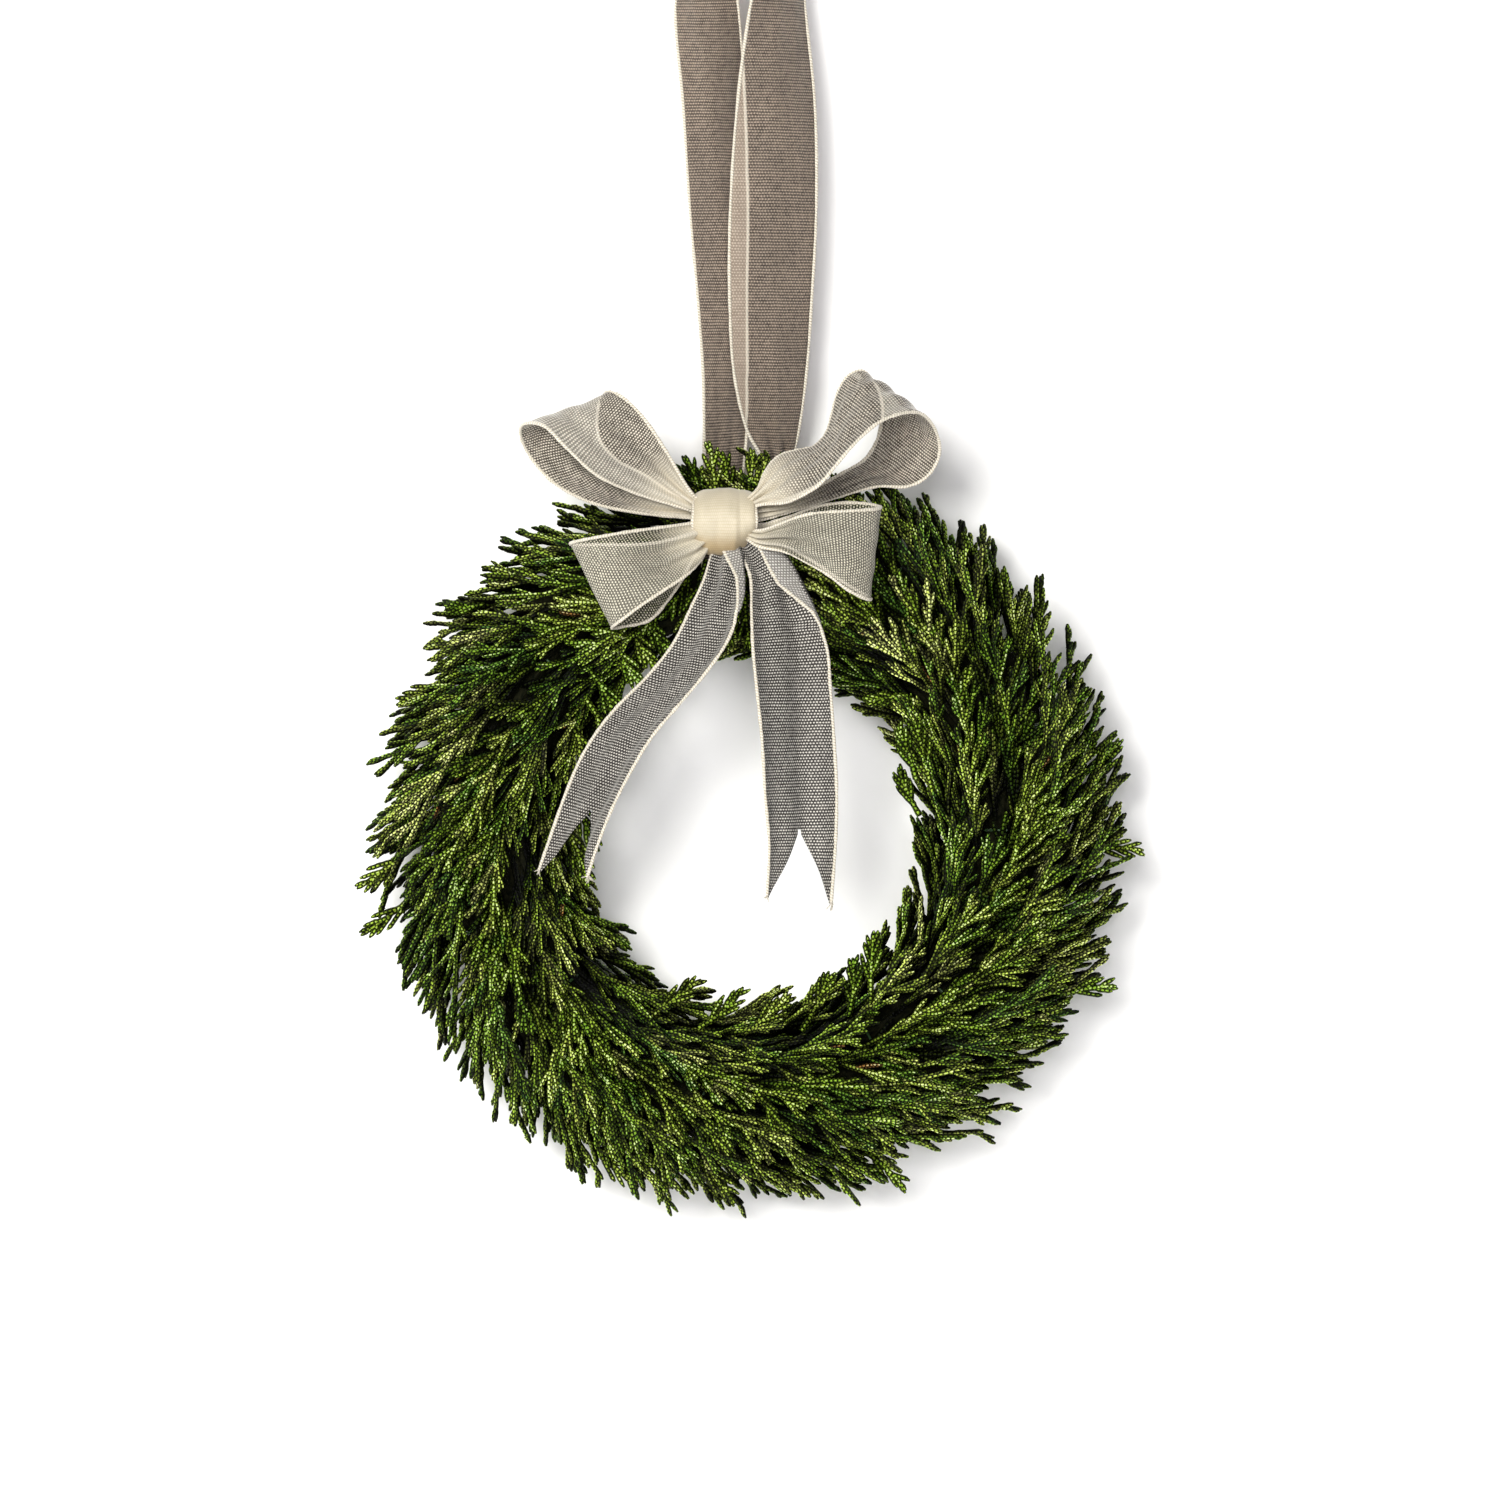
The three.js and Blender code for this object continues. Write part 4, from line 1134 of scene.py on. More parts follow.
def dress_spray(mesh, line, length, first=0.2, fullness=1.0, young=False):
    """One plume: its stem, and side branchlets that get shorter towards the tip."""
    tone = float(np.clip(chance.normal(0.5, 0.2), 0.05, 0.95))
    shares = np.linspace(0, 1, max(6, int(length / LEAF_STEP)))
    path = line(shares)
    off = unit(away_from(path[len(path) // 2]))
    woody = smooth_step(0.30, 0.12, shares)
    n = len(path)
    radii = LEAF_RADIUS * chance.uniform(0.9, 1.12, (n, 4)) * (1 - 0.2 * shares)[:, None]
    radii[-1] *= 0.5
    mesh.add(tube_rings(path, off, radii), tone, woody, 0.9, shares * length + chance.uniform(0, 20))
    sparse = fullness < 0.7
    gap = BRANCH_GAP / fullness
    count = int(length * (0.97 - first) / gap)
    for k in range(count):
        t = mix(first, 0.97, (k + chance.uniform(0.3, 0.7)) / count)
        base = line(t)
        ahead = unit(line(t + 0.03) - line(t - 0.03))
        away = away_from(base)
        away = unit(away - ahead * (away @ ahead))
        outward = unit(base * np.array([1, 0, 1]))
        ahead = unit(ahead + outward * OUTWARD_LEAN * (0.35 + 0.65 * max(0, -away[1] + (away @ outward))))
        away = unit(away - ahead * (away @ ahead))
        across = np.cross(ahead, away)
        left = (1 - t) * length
        long = min(17 * (1.1 - 0.35 * t), 4 + 0.9 * left) * chance.uniform(0.7, 1.2)
        side = 1 if k % 2 else -1
        if young:
            lean = unit(ahead * 0.9 + across * side * 0.4 + away * chance.uniform(-0.1, 0.25))
            shoot = curved(base, lean, unit(lean + ahead), 0.7 * long)
            if clear_of_ribbon(shoot):
                needles(mesh, shoot, away, tone, 0.95)
        else:
            dress_branchlet(mesh, base, ahead, across, away, side, long, tone, sparse)


FILL_SPRAYS = 20  # added in each bunch between the part's own ones, mostly lower
LOW_SPRAYS = (  # turns of the lowest ones
    (60, 85),
    (80, 105),
    (100, 125),
    (125, 155),
    (150, 190),
    (15, 50),
    (185, 215),
)
GOLDEN = 0.618034


def fill_line(bunch, k):
    """A spray between the part's own ones, so that the body looks full."""
    share = (k * GOLDEN + 0.37 * bunch) % 1
    turn = -70 + 310 * share + chance.uniform(-8, 8)
    if k >= FILL_SPRAYS:
        turn = chance.uniform(*LOW_SPRAYS[k - FILL_SPRAYS])
    behind = max(0, -math.sin(math.radians(turn)))
    layer = mix(chance.uniform(0.3, 0.95), 0.1, min(1, 1.6 * behind))
    if k >= FILL_SPRAYS:
        layer = chance.uniform(0.15, 0.45)
    start = FIRST_ANGLE + bunch * BUNCH_ANGLE + chance.uniform(0, BUNCH_ANGLE)
    length = chance.uniform(30, 42)
    return stem_line(start, turn, length, layer), length, behind


TIED_STEMS = 20


def tie_stems(mesh, bunch):
    """The woody stems under the foliage, drawn in at both ends of the bunch."""
    start, end = core_span(bunch)
    shares = np.linspace(0, 1, 9)
    waist = mix(CORE_NECK, 1, np.sin(np.pi * shares) ** 0.7)
    ring = np.radians(mix(start, end, shares))
    for i in range(TIED_STEMS):
        twist = chance.uniform(-10, 10)
        turn = math.radians(360 / TIED_STEMS * i) + np.radians(twist * shares)
        thick = chance.uniform(1.3, 2.2)
        wide = (CORE_WIDE - thick) * waist
        deep = (CORE_DEEP - thick) * waist
        out = RING_RADIUS + wide * np.cos(turn)
        path = np.stack([out * np.cos(ring), deep * np.sin(turn), out * np.sin(ring)], axis=-1)
        radii = np.full((9, 4), thick * 1.1)
        rings = tube_rings(path, unit(path[4]), radii)
        mesh.add(rings, chance.uniform(0, 1), 1.0, 1.0, shares * 25)
    radii = np.full((9, 4), 1.0) * (CORE_DEEP - 2.5) * 1.2 * waist[:, None]
    path = np.stack([RING_RADIUS * np.cos(ring), 0 * ring, RING_RADIUS * np.sin(ring)], axis=-1)
    mesh.add(tube_rings(path, np.array([0, 1, 0]), radii), 0.1, 1.0, 0.2, shares * 25)


def is_young(line):
    """Two places on the left carry young needle-leaved shoots."""
    middle = line(0.5)
    spots = ((-52, -22, -28), (-57, -24, 24))
    return any(np.linalg.norm(middle - np.array(spot)) < 11 for spot in spots)


SPRIGS = [  # base and tip of each sprig that stands up behind the knot
    ((-12, -5, 85), (-18, -15, 103)),
    ((-9, -6, 86), (-11.5, -14, 107)),
    ((-5, -6, 86.5), (-8, -15, 104)),
    ((-2, -6, 86.5), (1, -13, 105)),
    ((1, -6, 86), (5, -12, 102)),
    ((-14, -5, 84), (-24, -14, 98)),
]
HANGING_SPRIGS = [  # in front of the hanger and behind the tails
    ((-15, -16, 76), (-25, -19, 56)),
    ((-12, -17, 74), (-17, -19.5, 53)),
    ((-9, -17, 73), (-11, -20, 50)),
    ((-5, -17, 72), (-5.5, -20, 47.5)),
    ((-1, -17, 72), (0.5, -20, 49)),
    ((3, -17, 73), (6, -20, 50)),
    ((7, -17, 74), (13, -19, 53)),
    ((-18, -17, 78), (-31, -19.5, 62)),
    ((-21, -15, 70), (-30, -18, 52)),
    ((-16, -14, 66), (-21, -17, 49)),
    ((9, -15, 70), (18, -17, 55)),
]
INNER_SPRIGS = [  # on the ring's inner edge, behind the left tail and round the bottom of the hole
    ((-50, -14, 32), (-41, -17, 12)),
    ((-47, -13, 22), (-38.5, -15, 4)),
    ((-50, -13, 14), (-41, -16, -6)),
    ((-52, -13, 4), (-44, -16, -16)),
    ((-45, -14, 36), (-36, -18, 20)),
    ((-44, -15, 44), (-35, -19, 28)),
    ((-38, -15, 52), (-29, -19, 38)),
    ((50, -13, 10), (45, -17, 30)),
    ((49, -12, 20), (42, -16, 37)),
    ((-27, -12, -51), (-13, -16, -40.5)),
    ((-14, -12, -54), (-1, -16, -42.5)),
    ((-2, -12, -56), (12, -17, -44)),
    ((14, -12, -55), (22, -16, -37)),
    ((27, -12, -51), (28, -16, -34)),
    ((33, -12, -47), (34, -16, -27)),
]
LATE_SPRIGS = [  # in front of two gaps by the left tail, and the lone ones on the right of the hole
    ((-34, -13.5, 57.5), (-25, -17, 43.5)),
    ((-31, -13, 61), (-21.5, -16.5, 47.5)),
    ((43, -14, 37), (31.5, -18, 35)),
    ((45.5, -12, 14), (39.8, -15, 29)),
    ((46.5, -12, 4), (40.4, -15, 18)),
]
REACHING_SPRIGS = [  # the forked tips that stand furthest off the outline
    ((87, -3, -4), (109, -8, -5.5)),
    ((-91, -2, -3), (-108.5, -6, -16)),
    ((-91, -3, -17), (-107, -7, -29)),
    ((-79, -4, 41), (-97, -8, 34.5)),
    ((-18, -3, -88), (-3, -7, -102.5)),
    ((28, -3, -86), (44, -7, -99)),
    ((84, -4, -46), (101.5, -8, -42.5)),
    ((93, -3, 8), (101.5, -7, 26)),
    ((-73, -4, 62), (-84, -8, 61)),
    ((-47, -3, -83), (-30, -7, -99)),
]


def add_sprig(mesh, base, tip, twigs):
    """One forked sprig from its base to its tip, flat as seen from the front."""
    base, tip = np.array(base, float), np.array(tip, float)
    way = unit(tip - base)
    length = float(np.linalg.norm(tip - base))
    off = np.array([0.0, -1.0, 0.0])
    bend = chance.normal(0, 0.12, 3)
    path = curved(base, unit(way + bend - 0.2 * off), unit(way - bend + 0.25 * off), length)
    tone = chance.uniform(0.3, 0.7)
    lit = chance.uniform(0.6, 0.85)
    leafy(mesh, path, off, LEAF_RADIUS, tone, lit)
    across = unit(np.cross(way, off))
    for k in range(twigs):
        s = mix(0.28, 0.86, k / (twigs - 1))
        at = path[int(s * (len(path) - 1))]
        out = unit(way + across * (0.5 if k % 2 else -0.5) + off * chance.normal(0.1, 0.2))
        long = 0.42 * length * (1.1 - s) + 2
        leafy(mesh, curved(at, out, unit(out + way), long), off, 0.78, tone, lit * chance.uniform(0.7, 1.1))


def nearest_bunch(point):
    """The bunch whose share of the ring a point is in."""
    angle = math.degrees(math.atan2(point[2], point[0])) - FIRST_ANGLE
    return int((angle % 360) // BUNCH_ANGLE)


def make_foliage():
    material = foliage_material()
    meshes = [LeafMesh() for _ in range(BUNCHES)]
    for bunch, mesh in enumerate(meshes):
        tie_stems(mesh, bunch)
    for bunch, line, length in sprays:
        behind = max(0, float(away_from(line(0.5))[1]))
        dress_spray(meshes[bunch], line, length, fullness=mix(1, 0.5, behind))
    for bunch, mesh in enumerate(meshes):
        for k in range(FILL_SPRAYS + len(LOW_SPRAYS)):
            line, length, behind = fill_line(bunch, k)
            stem = line(np.linspace(0, 1, 20))
            if not any(near_ribbon(x, 2.5) for x in stem):
                dress_spray(mesh, line, length, 0.25, mix(0.85, 0.35, behind), is_young(line))
    for base, tip in SPRIGS:
        add_sprig(meshes[-1], base, tip, 5)
    for base, tip in HANGING_SPRIGS + INNER_SPRIGS + REACHING_SPRIGS:
        add_sprig(meshes[nearest_bunch(base)], base, tip, 6)
    # The late sprigs' draws are taken back, so that the ribbon gets the same ones as without them
    draws_after = chance.bit_generator.state
    for base, tip in LATE_SPRIGS:
        add_sprig(meshes[nearest_bunch(base)], base, tip, 6)
    chance.bit_generator.state = draws_after
    for bunch, mesh in enumerate(meshes):
        piece = mesh.make(f"sprays_{bunch + 1:02d}")
        stand_in(piece, f"foliage_bunch_{bunch + 1:02d}", material)


make_foliage()


# Ribbon pieces


def cloth_mesh(name, grid, uv, behind, skip=None):
    """A closed sheet of even thickness on a grid of points, with its places on the flat cloth as UV."""
    rows, columns = grid.shape[:2]
    along = np.gradient(grid, axis=0)
    over = np.gradient(grid, axis=1)
    off = unit(np.cross(over, along)) * (CLOTH_THICK / 2)
    points = np.concatenate([(grid + off).reshape(-1, 3), (grid - off).reshape(-1, 3)])
    half = rows * columns
    present = np.ones((rows - 1, columns - 1), bool) if skip is None else ~skip
    faces = []
    edges = {}
    for i, j in zip(*np.nonzero(present)):
        a = int(i * columns + j)
        corner = (a, a + 1, a + columns + 1, a + columns)
        faces.append(corner)
        faces.append(tuple(c + half for c in reversed(corner)))
        for k in range(4):
            edges[(corner[k], corner[(k + 1) % 4])] = True
    for a, b in list(edges):
        if (b, a) not in edges:
            faces.append((b, a, a + half, b + half))
    used = np.zeros(2 * half, bool)
    used[np.unique([v for face in faces for v in face])] = True
    number = np.cumsum(used) - 1
    piece = link_mesh(name, points[used], [tuple(int(number[v]) for v in face) for face in faces])
    lay_flat(piece, np.concatenate([uv.reshape(-1, 2)] * 2)[used])
    colour_points(piece, "behind", np.concatenate([behind.reshape(-1, 4)] * 2)[used])
    return piece


def flat_tree(points):
    """A search tree of places as seen from the front."""
    tree = KDTree(len(points))
    for i, (x, _, z) in enumerate(points):
        tree.insert((x, z, 0), i)
    tree.balance()
    return tree


def flat_cross(a, b):
    return a[0] * b[2] - a[2] * b[0]


def seen_behind(grid, clear, front=None, back=None):
    """For each point of a grid: its gap to the layer behind and how far it is outside that layer's edges, in
    centimetres, how far it is turned edge-on, and how clear its holes are."""
    behind = np.ones((*grid.shape[:2], 4))
    normal = unit(np.cross(np.gradient(grid, axis=1), np.gradient(grid, axis=0)))
    behind[..., 2] = 1 - np.abs(normal[..., 1])
    behind[..., 3] = clear
    if back is None:
        return behind
    layer = grid[back]
    fine = np.linspace(0, 1, 4 * len(layer))
    middle = spline(layer[:, layer.shape[1] // 2], fine)
    edges = [spline(layer[:, k], fine) for k in (0, -1)]
    spots = np.vstack(edges)
    onward = np.vstack([np.gradient(edge, axis=0) for edge in edges])
    inward = np.vstack([middle - edge for edge in edges])
    layer_tree = flat_tree(layer.reshape(-1, 3))
    edge_tree = flat_tree(spots)
    for i in range(*front.indices(len(grid))):
        for j in range(grid.shape[1]):
            x, _, z = grid[i, j]
            behind[i, j, 0] = min(1, 0.1 * layer_tree.find((x, z, 0))[2])
            _, k, gap = edge_tree.find((x, z, 0))
            within = flat_cross(onward[k], grid[i, j] - spots[k]) * flat_cross(onward[k], inward[k]) > 0
            behind[i, j, 1] = min(1, 0.1 * gap) * (-1 if within else 1)
    return behind


def flat_places(grid):
    """Millimetres along and across the flat ribbon for each point of a grid."""
    steps = np.linalg.norm(np.diff(grid, axis=0), axis=2).mean(axis=1)
    along = np.concatenate([[0], np.cumsum(steps)])
    across = np.linspace(0, RIBBON_WIDTH, grid.shape[1])
    return np.stack(np.broadcast_arrays(along[:, None], across[None, :]), axis=-1)


def round_tube(path, radius, sides=6, uneven=0.0):
    """A closed tube along a path, with UV along and round it."""
    path = np.asarray(path, float)
    along = unit(np.gradient(path, axis=0))
    across = np.zeros_like(path)
    last = unit(np.cross(along[0], [0.31, 0.95, 0.12]))
    for i, way in enumerate(along):
        last = unit(last - way * (last @ way))
        across[i] = last
    other = np.cross(along, across)
    turn = np.arange(sides) * 2 * math.pi / sides
    wide = radius * (1 + uneven * chance.uniform(-1, 1, len(path)))
    wide[0] *= 0.7
    wide[-1] *= 0.7
    ring = across[:, None] * np.cos(turn)[None, :, None] + other[:, None] * np.sin(turn)[None, :, None]
    points = (path[:, None] + ring * wide[:, None, None]).reshape(-1, 3)
    around = (np.arange(sides) / sides)[None, :]
    uv = np.stack(np.broadcast_arrays(path_lengths(path)[:, None], around), axis=-1)
    return points, tube_faces(len(path), sides), uv.reshape(-1, 2)


def edge_tubes(grid, uneven=0.22, radius=SELVEDGE_RADIUS):
    """A cord along each side of a ribbon's grid."""
    return [round_tube(grid[:, k], radius, uneven=uneven) for k in (0, -1)]


def join_tubes(name, tubes):
    """One piece of several tubes."""
    points, faces, uv = [], [], []
    first = 0
    for some_points, some_faces, some_uv in tubes:
        points.append(some_points)
        uv.append(some_uv)
        faces += [tuple(v + first for v in face) for face in some_faces]
        first += len(some_points)
    piece = link_mesh(name, np.vstack(points), faces)
    lay_flat(piece, np.vstack(uv))
    return piece


def into_knot(stations, ends):
    """Stations with the gathered ends carried on into the knot."""
    def on(station):
        inside = station[:]
        for k in range(3):
            inside[k] = mix(station[k], KNOT_CENTRE[k], 0.45)
            inside[k + 3] = mix(station[k + 3], KNOT_CENTRE[k], 0.45)
        inside[6] = 0
        return inside

    first = [on(stations[0])] if "first" in ends else []
    last = [on(stations[-1])] if "last" in ends else []
    return first + stations + last


PLEAT_START = 8  # from a gathered end, where its pleats begin to fade
PLEAT_FADE = 20.0


def ribbon_grid(strip, pleated, rest, waves=3, depth=1.5, wobble=0.25, step=CLOTH_STEP, columns=20):
    """The fine surface of a strip: pleats that fade away from its gathered ends, and a soft unevenness.

    Where the strip is narrower than the flat ribbon, the pleats take up the width that is left over.
    """
    rows = max(8, int(strip.length() / step))
    u = np.linspace(0, 1, rows)
    v = np.linspace(0, 1, columns + 1)
    grid = strip.points(u, v)
    from_first = path_lengths(grid.mean(axis=1))
    from_last = from_first[-1] - from_first
    gather = np.full(rows, rest)
    for end, away in (("first", from_first), ("last", from_last)):
        if end in pleated:
            gather = np.maximum(gather, np.exp(-np.maximum(away - PLEAT_START, 0) / PLEAT_FADE))
    wide = np.linalg.norm(grid[:, -1] - grid[:, 0], axis=1)
    spare = np.sqrt(np.maximum(RIBBON_WIDTH**2 - wide**2, 0)) / (4 * waves)
    gather = np.maximum(gather, smooth_step(13, 10, wide))
    gather = np.minimum(gather * spare, depth)
    phase = chance.uniform(0, 2 * math.pi)
    inside = np.sin(math.pi * v) ** 0.35
    pleats = np.sin(2 * math.pi * waves * v[None, :] + phase + 0.02 * from_first[:, None]) * inside[None, :]
    slow = chance.uniform(0, 2 * math.pi, 3)
    soft = (
        np.sin(from_first[:, None] / 7.1 + 3.0 * v[None, :] + slow[0])
        + 0.7 * np.sin(from_first[:, None] / 3.9 - 4.0 * v[None, :] + slow[1])
        + 0.5 * np.sin(from_first[:, None] / 11.0 + 7.0 * v[None, :] + slow[2])
    )
    lift = gather[:, None] * pleats + wobble * soft * inside[None, :]
    return grid + strip.off(u)[:, None] * lift[..., None]


def finish_ribbon(piece, node, material, cord, length):
    """Hands over a ribbon and its corded edges. The length, the flat ribbon's in millimetres, is not used.
    """
    stand_in(piece, node, material)
    cord.data.materials.append(SELVEDGE)
    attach(cord, BODY_OF_ALL)


SELVEDGE = selvedge_material()
LOOP_WEAVE = woven_material(
    "ribbon_loops", (0.72, 0.655, 0.54), (0.040, 0.030, 0.020), -0.38, 0.15, drawn=(0.013, 0.034)
)
LOWER_WEAVE = woven_material(
    "ribbon_lower_loops", (0.62, 0.57, 0.445), (0.028, 0.030, 0.012), -0.48, 0.10, drawn=(0.011, 0.028)
)
TAIL_WEAVE = woven_material("ribbon_tails", (0.60, 0.567, 0.51), (0.020, 0.017, 0.014), -0.48, 0.08)
HANGER_WEAVE = woven_material(
    "ribbon_hanger", (0.365, 0.284, 0.212), (0.024, 0.016, 0.013), -0.18, 0.26, second=0.6
)
# Painted shade on the knot's lower part, where the band curls under: the heights in metres and the tint.
KNOT_SHADE_BELOW = (-0.1965, -0.1900, (0.72, 0.60, 0.42))
KNOT_WEAVE = woven_material(
    "ribbon_knot", (0.565, 0.50, 0.37), (0.46, 0.39, 0.26), 1.0, 0.6, crease=0.2, under=KNOT_SHADE_BELOW
)
INSIDE_KNOT = 4  # rows at each end of a loop that the knot hides


def make_loop(name, stations):
    lower = "lower" in name
    strip = Strip(into_knot(stations, ("first", "last")))
    grid = ribbon_grid(strip, ("first", "last"), rest=0.4)
    half = len(grid) // 2
    front, back = slice(INSIDE_KNOT, half), slice(half, len(grid) - INSIDE_KNOT)
    behind = seen_behind(grid, LOWER_LOOP_CLEAR if lower else LOOP_CLEAR, front, back)
    piece = cloth_mesh(f"{name}_cloth", grid, flat_places(grid), behind)
    cord = join_tubes(f"{name}_selvedges", edge_tubes(grid))
    weave = LOWER_WEAVE if lower else LOOP_WEAVE
    finish_ribbon(piece, name, weave, cord, strip.length())


# The right side of each tail is turned over to the front near the knot. Each row has the height of the left
# selvedge, then the fold and the free selvedge, each as x and height.
TURNS = {
    "bow_tail_left": [
        (80, (-3.0, 79), (-8.0, 78)),
        (74.8, (-1.8, 75), (-6.0, 73.7)),
        (68.2, (-1.2, 68.6), (-3.6, 69)),
        (64.5, (-1.3, 64.6), (-3.3, 65)),
        (61.1, (-2.2, 60.9), (-3.4, 61)),
        (57, (-4.2, 57), (-4.6, 57.1)),
    ],
    "bow_tail_right": [
        (80, (4.5, 81), (-0.5, 82)),
        (75, (8.2, 77.8), (1.8, 78.7)),
        (69.4, (12.5, 71.5), (5.4, 71.2)),
        (65, (14.9, 67), (7.7, 67.2)),
        (61, (17.0, 62.6), (11.6, 64)),
        (57, (19.0, 57.8), (17.0, 59.6)),
        (52.5, (20.4, 53.6), (20.1, 54)),
    ],
}
FLAP_COLUMNS = 6
HEM = 0.35


class TurnedStrip(Strip):
    """A strip whose right edge is the fold where its side is turned over."""

    def __init__(self, stations, turns):
        super().__init__(stations)
        self.heights = [row[0] for row in turns][::-1]
        self.folds = np.array([row[1] for row in turns])[::-1]
        self.free = np.array([row[2] for row in turns])[::-1]

    def turned(self, left):
        """How far the turn is there, and the fold's and the free selvedge's x and height."""
        share = smooth_step(self.heights[0] - 1, self.heights[0] + 4, left[:, 2])
        places = [np.interp(left[:, 2], self.heights, line) for line in (*self.folds.T, *self.free.T)]
        return share, np.stack(places, axis=1)

    def edges(self, u):
        a, b = super().edges(u)
        share, places = self.turned(a)
        fold = np.stack([places[:, 0], b[:, 1] - 0.5, places[:, 1]], axis=1)
        return a, mix(b, fold, share[:, None])


def flap_columns(strip, grid):
    """The turned-over side, in columns from the fold to the free selvedge, and its width in each row."""
    share, places = strip.turned(grid[:, 0])
    flap = np.zeros((len(grid), FLAP_COLUMNS, 3))
    for i, row in enumerate(grid):
        left, fold = row[0], row[-1]
        hem = fold + unit(left - fold) * HEM + np.array([0, -0.3, 0])
        s = np.clip((places[i, 2] - left[0]) / max(fold[0] - left[0], 1e-6), 0, 1)
        covered = row[int(s * (len(row) - 1)) :, 1]
        free = np.array([places[i, 2], covered.min() - 0.8, places[i, 3]])
        free = mix(hem, free, share[i])
        t = np.arange(1, FLAP_COLUMNS + 1)[:, None] / FLAP_COLUMNS
        flap[i] = mix(fold, free, t)
        flap[i, :, 1] = mix(fold[1], free[1], np.sin(0.5 * math.pi * t[:, 0]) ** 0.7)
    steps = np.diff(np.concatenate([grid[:, -1:], flap], axis=1), axis=1)
    return flap, np.linalg.norm(steps, axis=2).sum(axis=1)


def cut_to_points(grid, uv, start):
    """Cuts a tail's end to two points: past the start, a row keeps only its two outer shares."""
    rows, columns = grid.shape[:2]
    u = np.linspace(0, 1, rows)
    v = np.linspace(0, 1, columns)
    half = columns // 2
    reach = np.where(u > start, 0.5 * (1 - (u - start) / (1 - start)) + 0.03, 0.5)
    for i in np.nonzero(reach < 0.5)[0]:
        left = np.linspace(0, reach[i], half)
        places = np.concatenate([left, 1 - np.linspace(reach[i], 0, columns - half)])
        grid[i] = np.stack([np.interp(places, v, grid[i, :, k]) for k in range(3)], axis=1)
        uv[i, :, 1] = np.interp(places, v, uv[i, :, 1])
    return reach


def make_tail(name, stations):
    strip = TurnedStrip(into_knot(stations, ("first",)), TURNS[name])
    grid = ribbon_grid(strip, ("first",), waves=2, rest=0.5, columns=19)
    flap, turned_width = flap_columns(strip, grid)
    uv = flat_places(grid)
    uv[..., 1] *= (1 - turned_width / RIBBON_WIDTH)[:, None]
    flap_uv = np.zeros((*flap.shape[:2], 2))
    flap_uv[..., 0] = uv[:, :1, 0]
    t = np.arange(1, FLAP_COLUMNS + 1) / FLAP_COLUMNS
    flap_uv[..., 1] = RIBBON_WIDTH - turned_width[:, None] * (1 - t)[None, :]
    start = 1 - (1 - NOTCHES[name]) * (len(stations) - 1) / len(stations)
    reach = cut_to_points(grid, uv, start)
    skip = np.pad(split_skip(reach, grid.shape[1]), ((0, 0), (0, FLAP_COLUMNS)))
    behind = seen_behind(grid, TAIL_CLEAR)
    flap_behind = seen_behind(flap, FLAP_CLEAR)
    flap_behind[..., 0] = np.where(turned_width > 1, 0, 1)[:, None]
    flap_behind[..., 1] = np.where(turned_width > 1, -1, 1)[:, None]
    whole = np.concatenate([grid, flap], axis=1)
    uv = np.concatenate([uv, flap_uv], axis=1)
    behind = np.concatenate([behind, flap_behind], axis=1)
    piece = cloth_mesh(f"{name}_cloth", whole, uv, behind, skip)
    cord = join_tubes(f"{name}_selvedges", edge_tubes(whole) + frayed_ends(grid))
    length = strip.length()
    finish_ribbon(piece, name, TAIL_WEAVE, cord, length)


def split_skip(reach, columns):
    """The faces across the notch, which the cut takes out."""
    skip = np.zeros((len(reach) - 1, columns - 1), bool)
    skip[:, columns // 2 - 1] = reach[1:] < 0.5
    return skip


FRAYED_THREADS = 9


def frayed_ends(grid):
    """Loose thread ends at the two points of a cut tail."""
    tubes = []
    for column in (0, -1):
        tip = grid[-1, column]
        back = unit(grid[-1, column] - grid[-4, column])
        for _ in range(FRAYED_THREADS):
            way = unit(back + chance.normal(0, 0.5, 3))
            bend = chance.normal(0, 0.5, 3)
            s = np.linspace(0, 1, 6)[:, None]
            length = chance.uniform(1.1, 2.6)
            path = tip - back * 0.8 + way * length * s + bend * s * s
            tubes.append(round_tube(path, 0.13, 4))
    return tubes


SWUNG_ASIDE = {110: -0.8, 98: 5.0}  # where the front run's left edge is at two heights, just above the knot


def make_hanger():
    stations = [row[:] for row in HANGER]
    for row in stations[len(stations) // 2 :]:
        row[3] = SWUNG_ASIDE.get(row[2], row[3])
    strip = Strip(stations)
    grid = ribbon_grid(strip, (), rest=0.12, depth=0.95, wobble=0.12, step=2.2, columns=18)
    half = len(grid) // 2
    front, back = slice(half + 8, len(grid) - 30), slice(30, half - 8)
    behind = seen_behind(grid, HANGER_CLEAR, front, back)
    piece = cloth_mesh("hanger_ribbon_cloth", grid, flat_places(grid), behind)
    cord = join_tubes("hanger_ribbon_selvedges", edge_tubes(grid, 0.2))
    length = strip.length()
    finish_ribbon(piece, "hanger_ribbon", HANGER_WEAVE, cord, length)


KNOT_ROWS = 72
KNOT_COLUMNS = 30


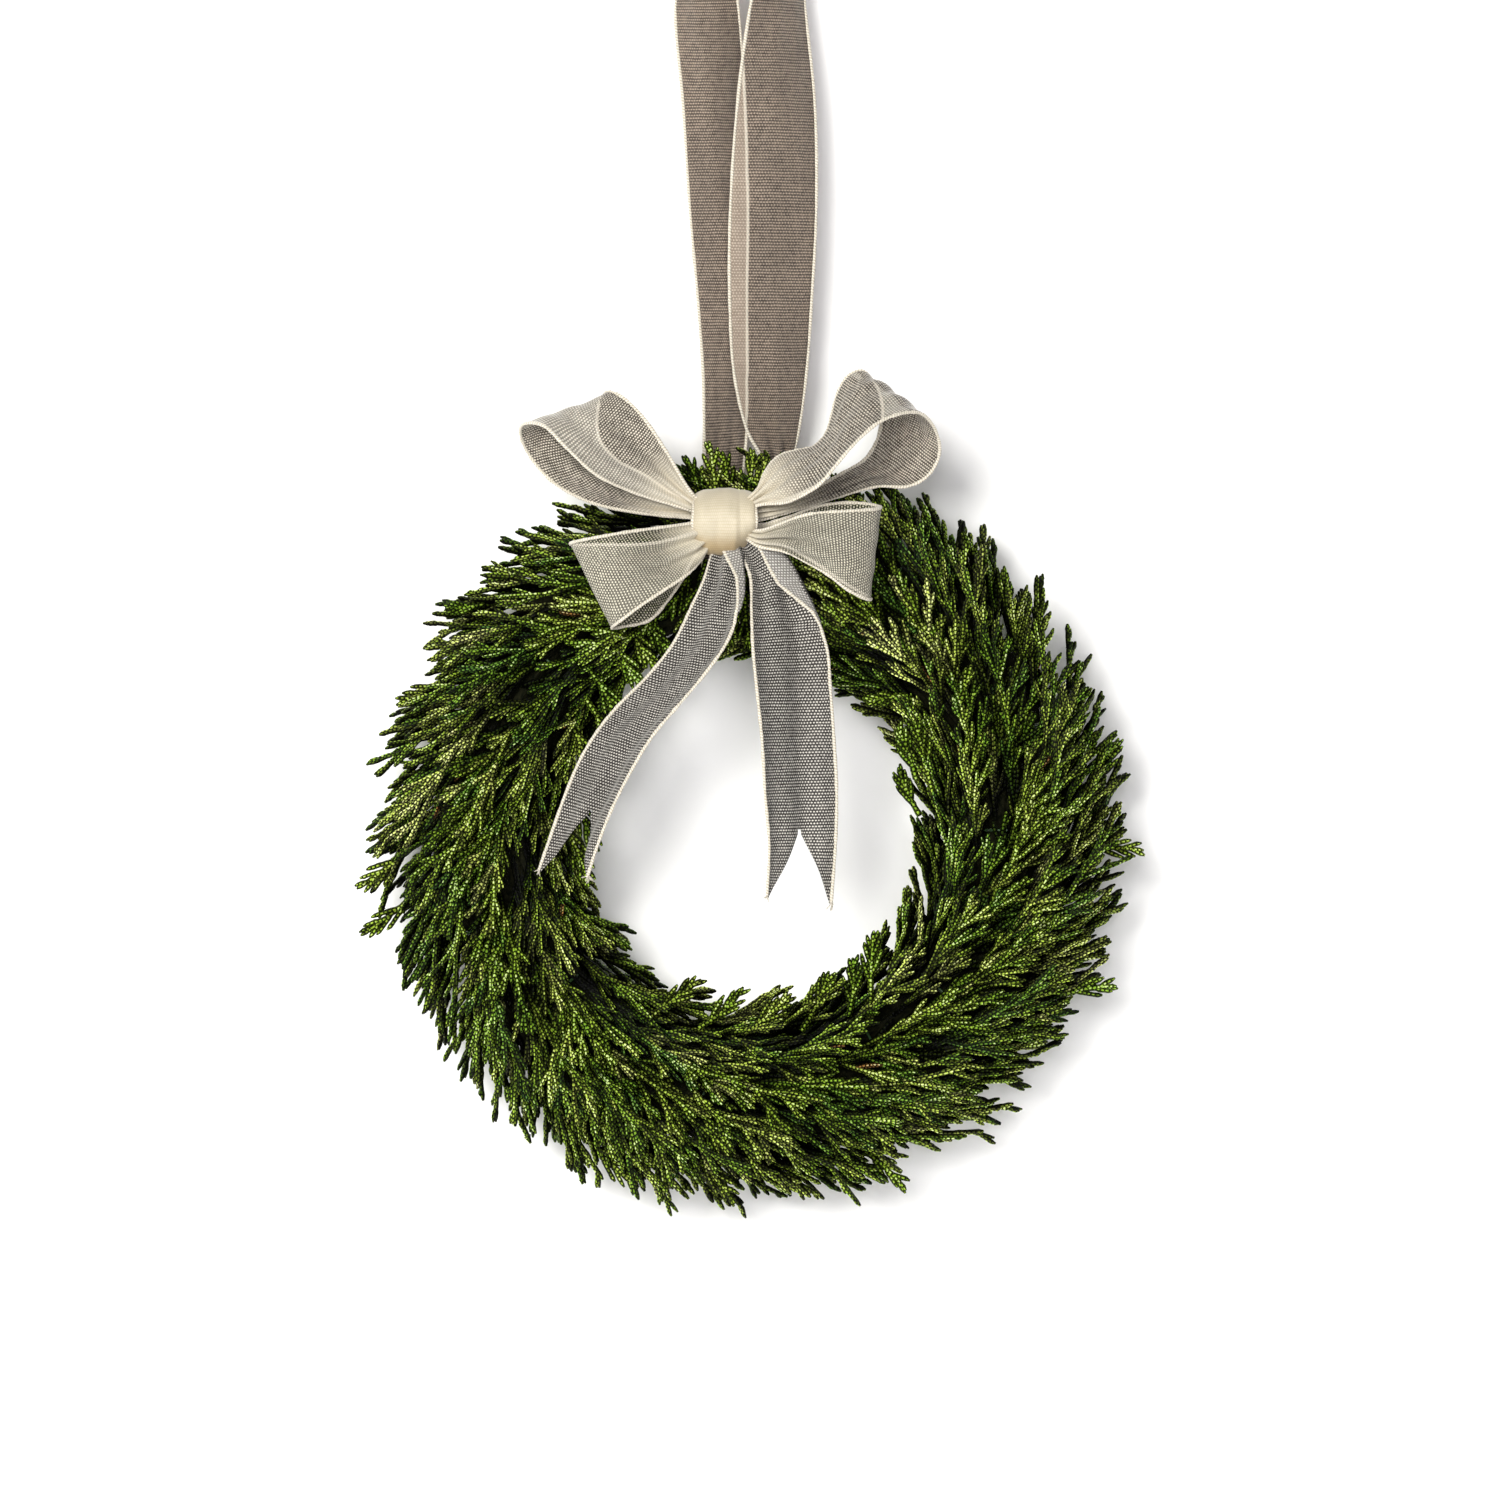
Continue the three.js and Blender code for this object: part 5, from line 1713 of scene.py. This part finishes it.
def make_knot():
    """A band of ribbon wrapped round the gathered loops. Its middle is full, and it is drawn in below."""
    turn = np.linspace(math.pi, 3 * math.pi, KNOT_ROWS + 1)
    s = np.linspace(-1, 1, KNOT_COLUMNS + 1)
    swell = np.sqrt(1 - np.abs(s) ** 2.6)
    deep = 0.82 + 0.15 * swell
    tall = 0.66 + 0.33 * swell
    crease = -0.045 * np.exp(-(((s - 0.48) / 0.07) ** 2))
    grid = np.zeros((len(turn), len(s), 3))
    for i, a in enumerate(turn):
        below = max(0, -math.sin(a)) * (0.75 + 0.25 * math.cos(a))
        pleat = 0.016 * np.sin(7 * s + 1.3 * math.sin(a)) + 0.008 * np.sin(16 * s - 2 * math.sin(a) + 1)
        shape = (crease + pleat) * (0.6 + 0.4 * math.cos(a)) + 0.010 * np.sin(3 * a + 2 * s)
        shape -= below * (0.13 * (s + 0.12) ** 2 + 0.20 * smooth_step(0.3, 1, s))
        dent = math.exp(-(((a - 2 * math.pi + 0.95) / 0.40) ** 2))
        shape -= 0.08 * dent * np.exp(-(((s - 0.62) / 0.30) ** 2))
        grid[i, :, 0] = s * KNOT_HALF[0] * (1 - 0.03 * math.sin(2 * a)) * (1 - 0.08 * below)
        grid[i, :, 1] = -(deep + shape) * KNOT_HALF[1] * math.cos(a)
        grid[i, :, 2] = (tall + shape) * KNOT_HALF[2] * math.sin(a)
    grid += KNOT_CENTRE
    uv = flat_places(grid)
    behind = seen_behind(grid, 0)
    piece = cloth_mesh("bow_knot_band", grid[:, ::-1], uv[:, ::-1], behind[:, ::-1])
    cord = join_tubes("bow_knot_selvedges", edge_tubes(grid, 0.2, KNOT_CORD_RADIUS))
    length = uv[-1, 0, 0]
    finish_ribbon(piece, "bow_knot", KNOT_WEAVE, cord, length)


for loop_name, loop_stations in LOOPS.items():
    make_loop(loop_name, loop_stations)
for tail_name, tail_stations in TAILS.items():
    make_tail(tail_name, tail_stations)
make_hanger()
make_knot()


# The hoop keeps its solid, and the wire gets a rounder one on the same line


def make_wire():
    line = np.array(wire_line())
    path = spline(line, np.linspace(0, 1, 6 * len(line)))
    piece = join_tubes("binding_wire_round", [round_tube(path, WIRE_RADIUS)])
    stand_in(piece, "binding_wire", wire_material())


make_wire()
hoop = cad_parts["hoop"]
hoop.material_slots[0].material = bark_material()
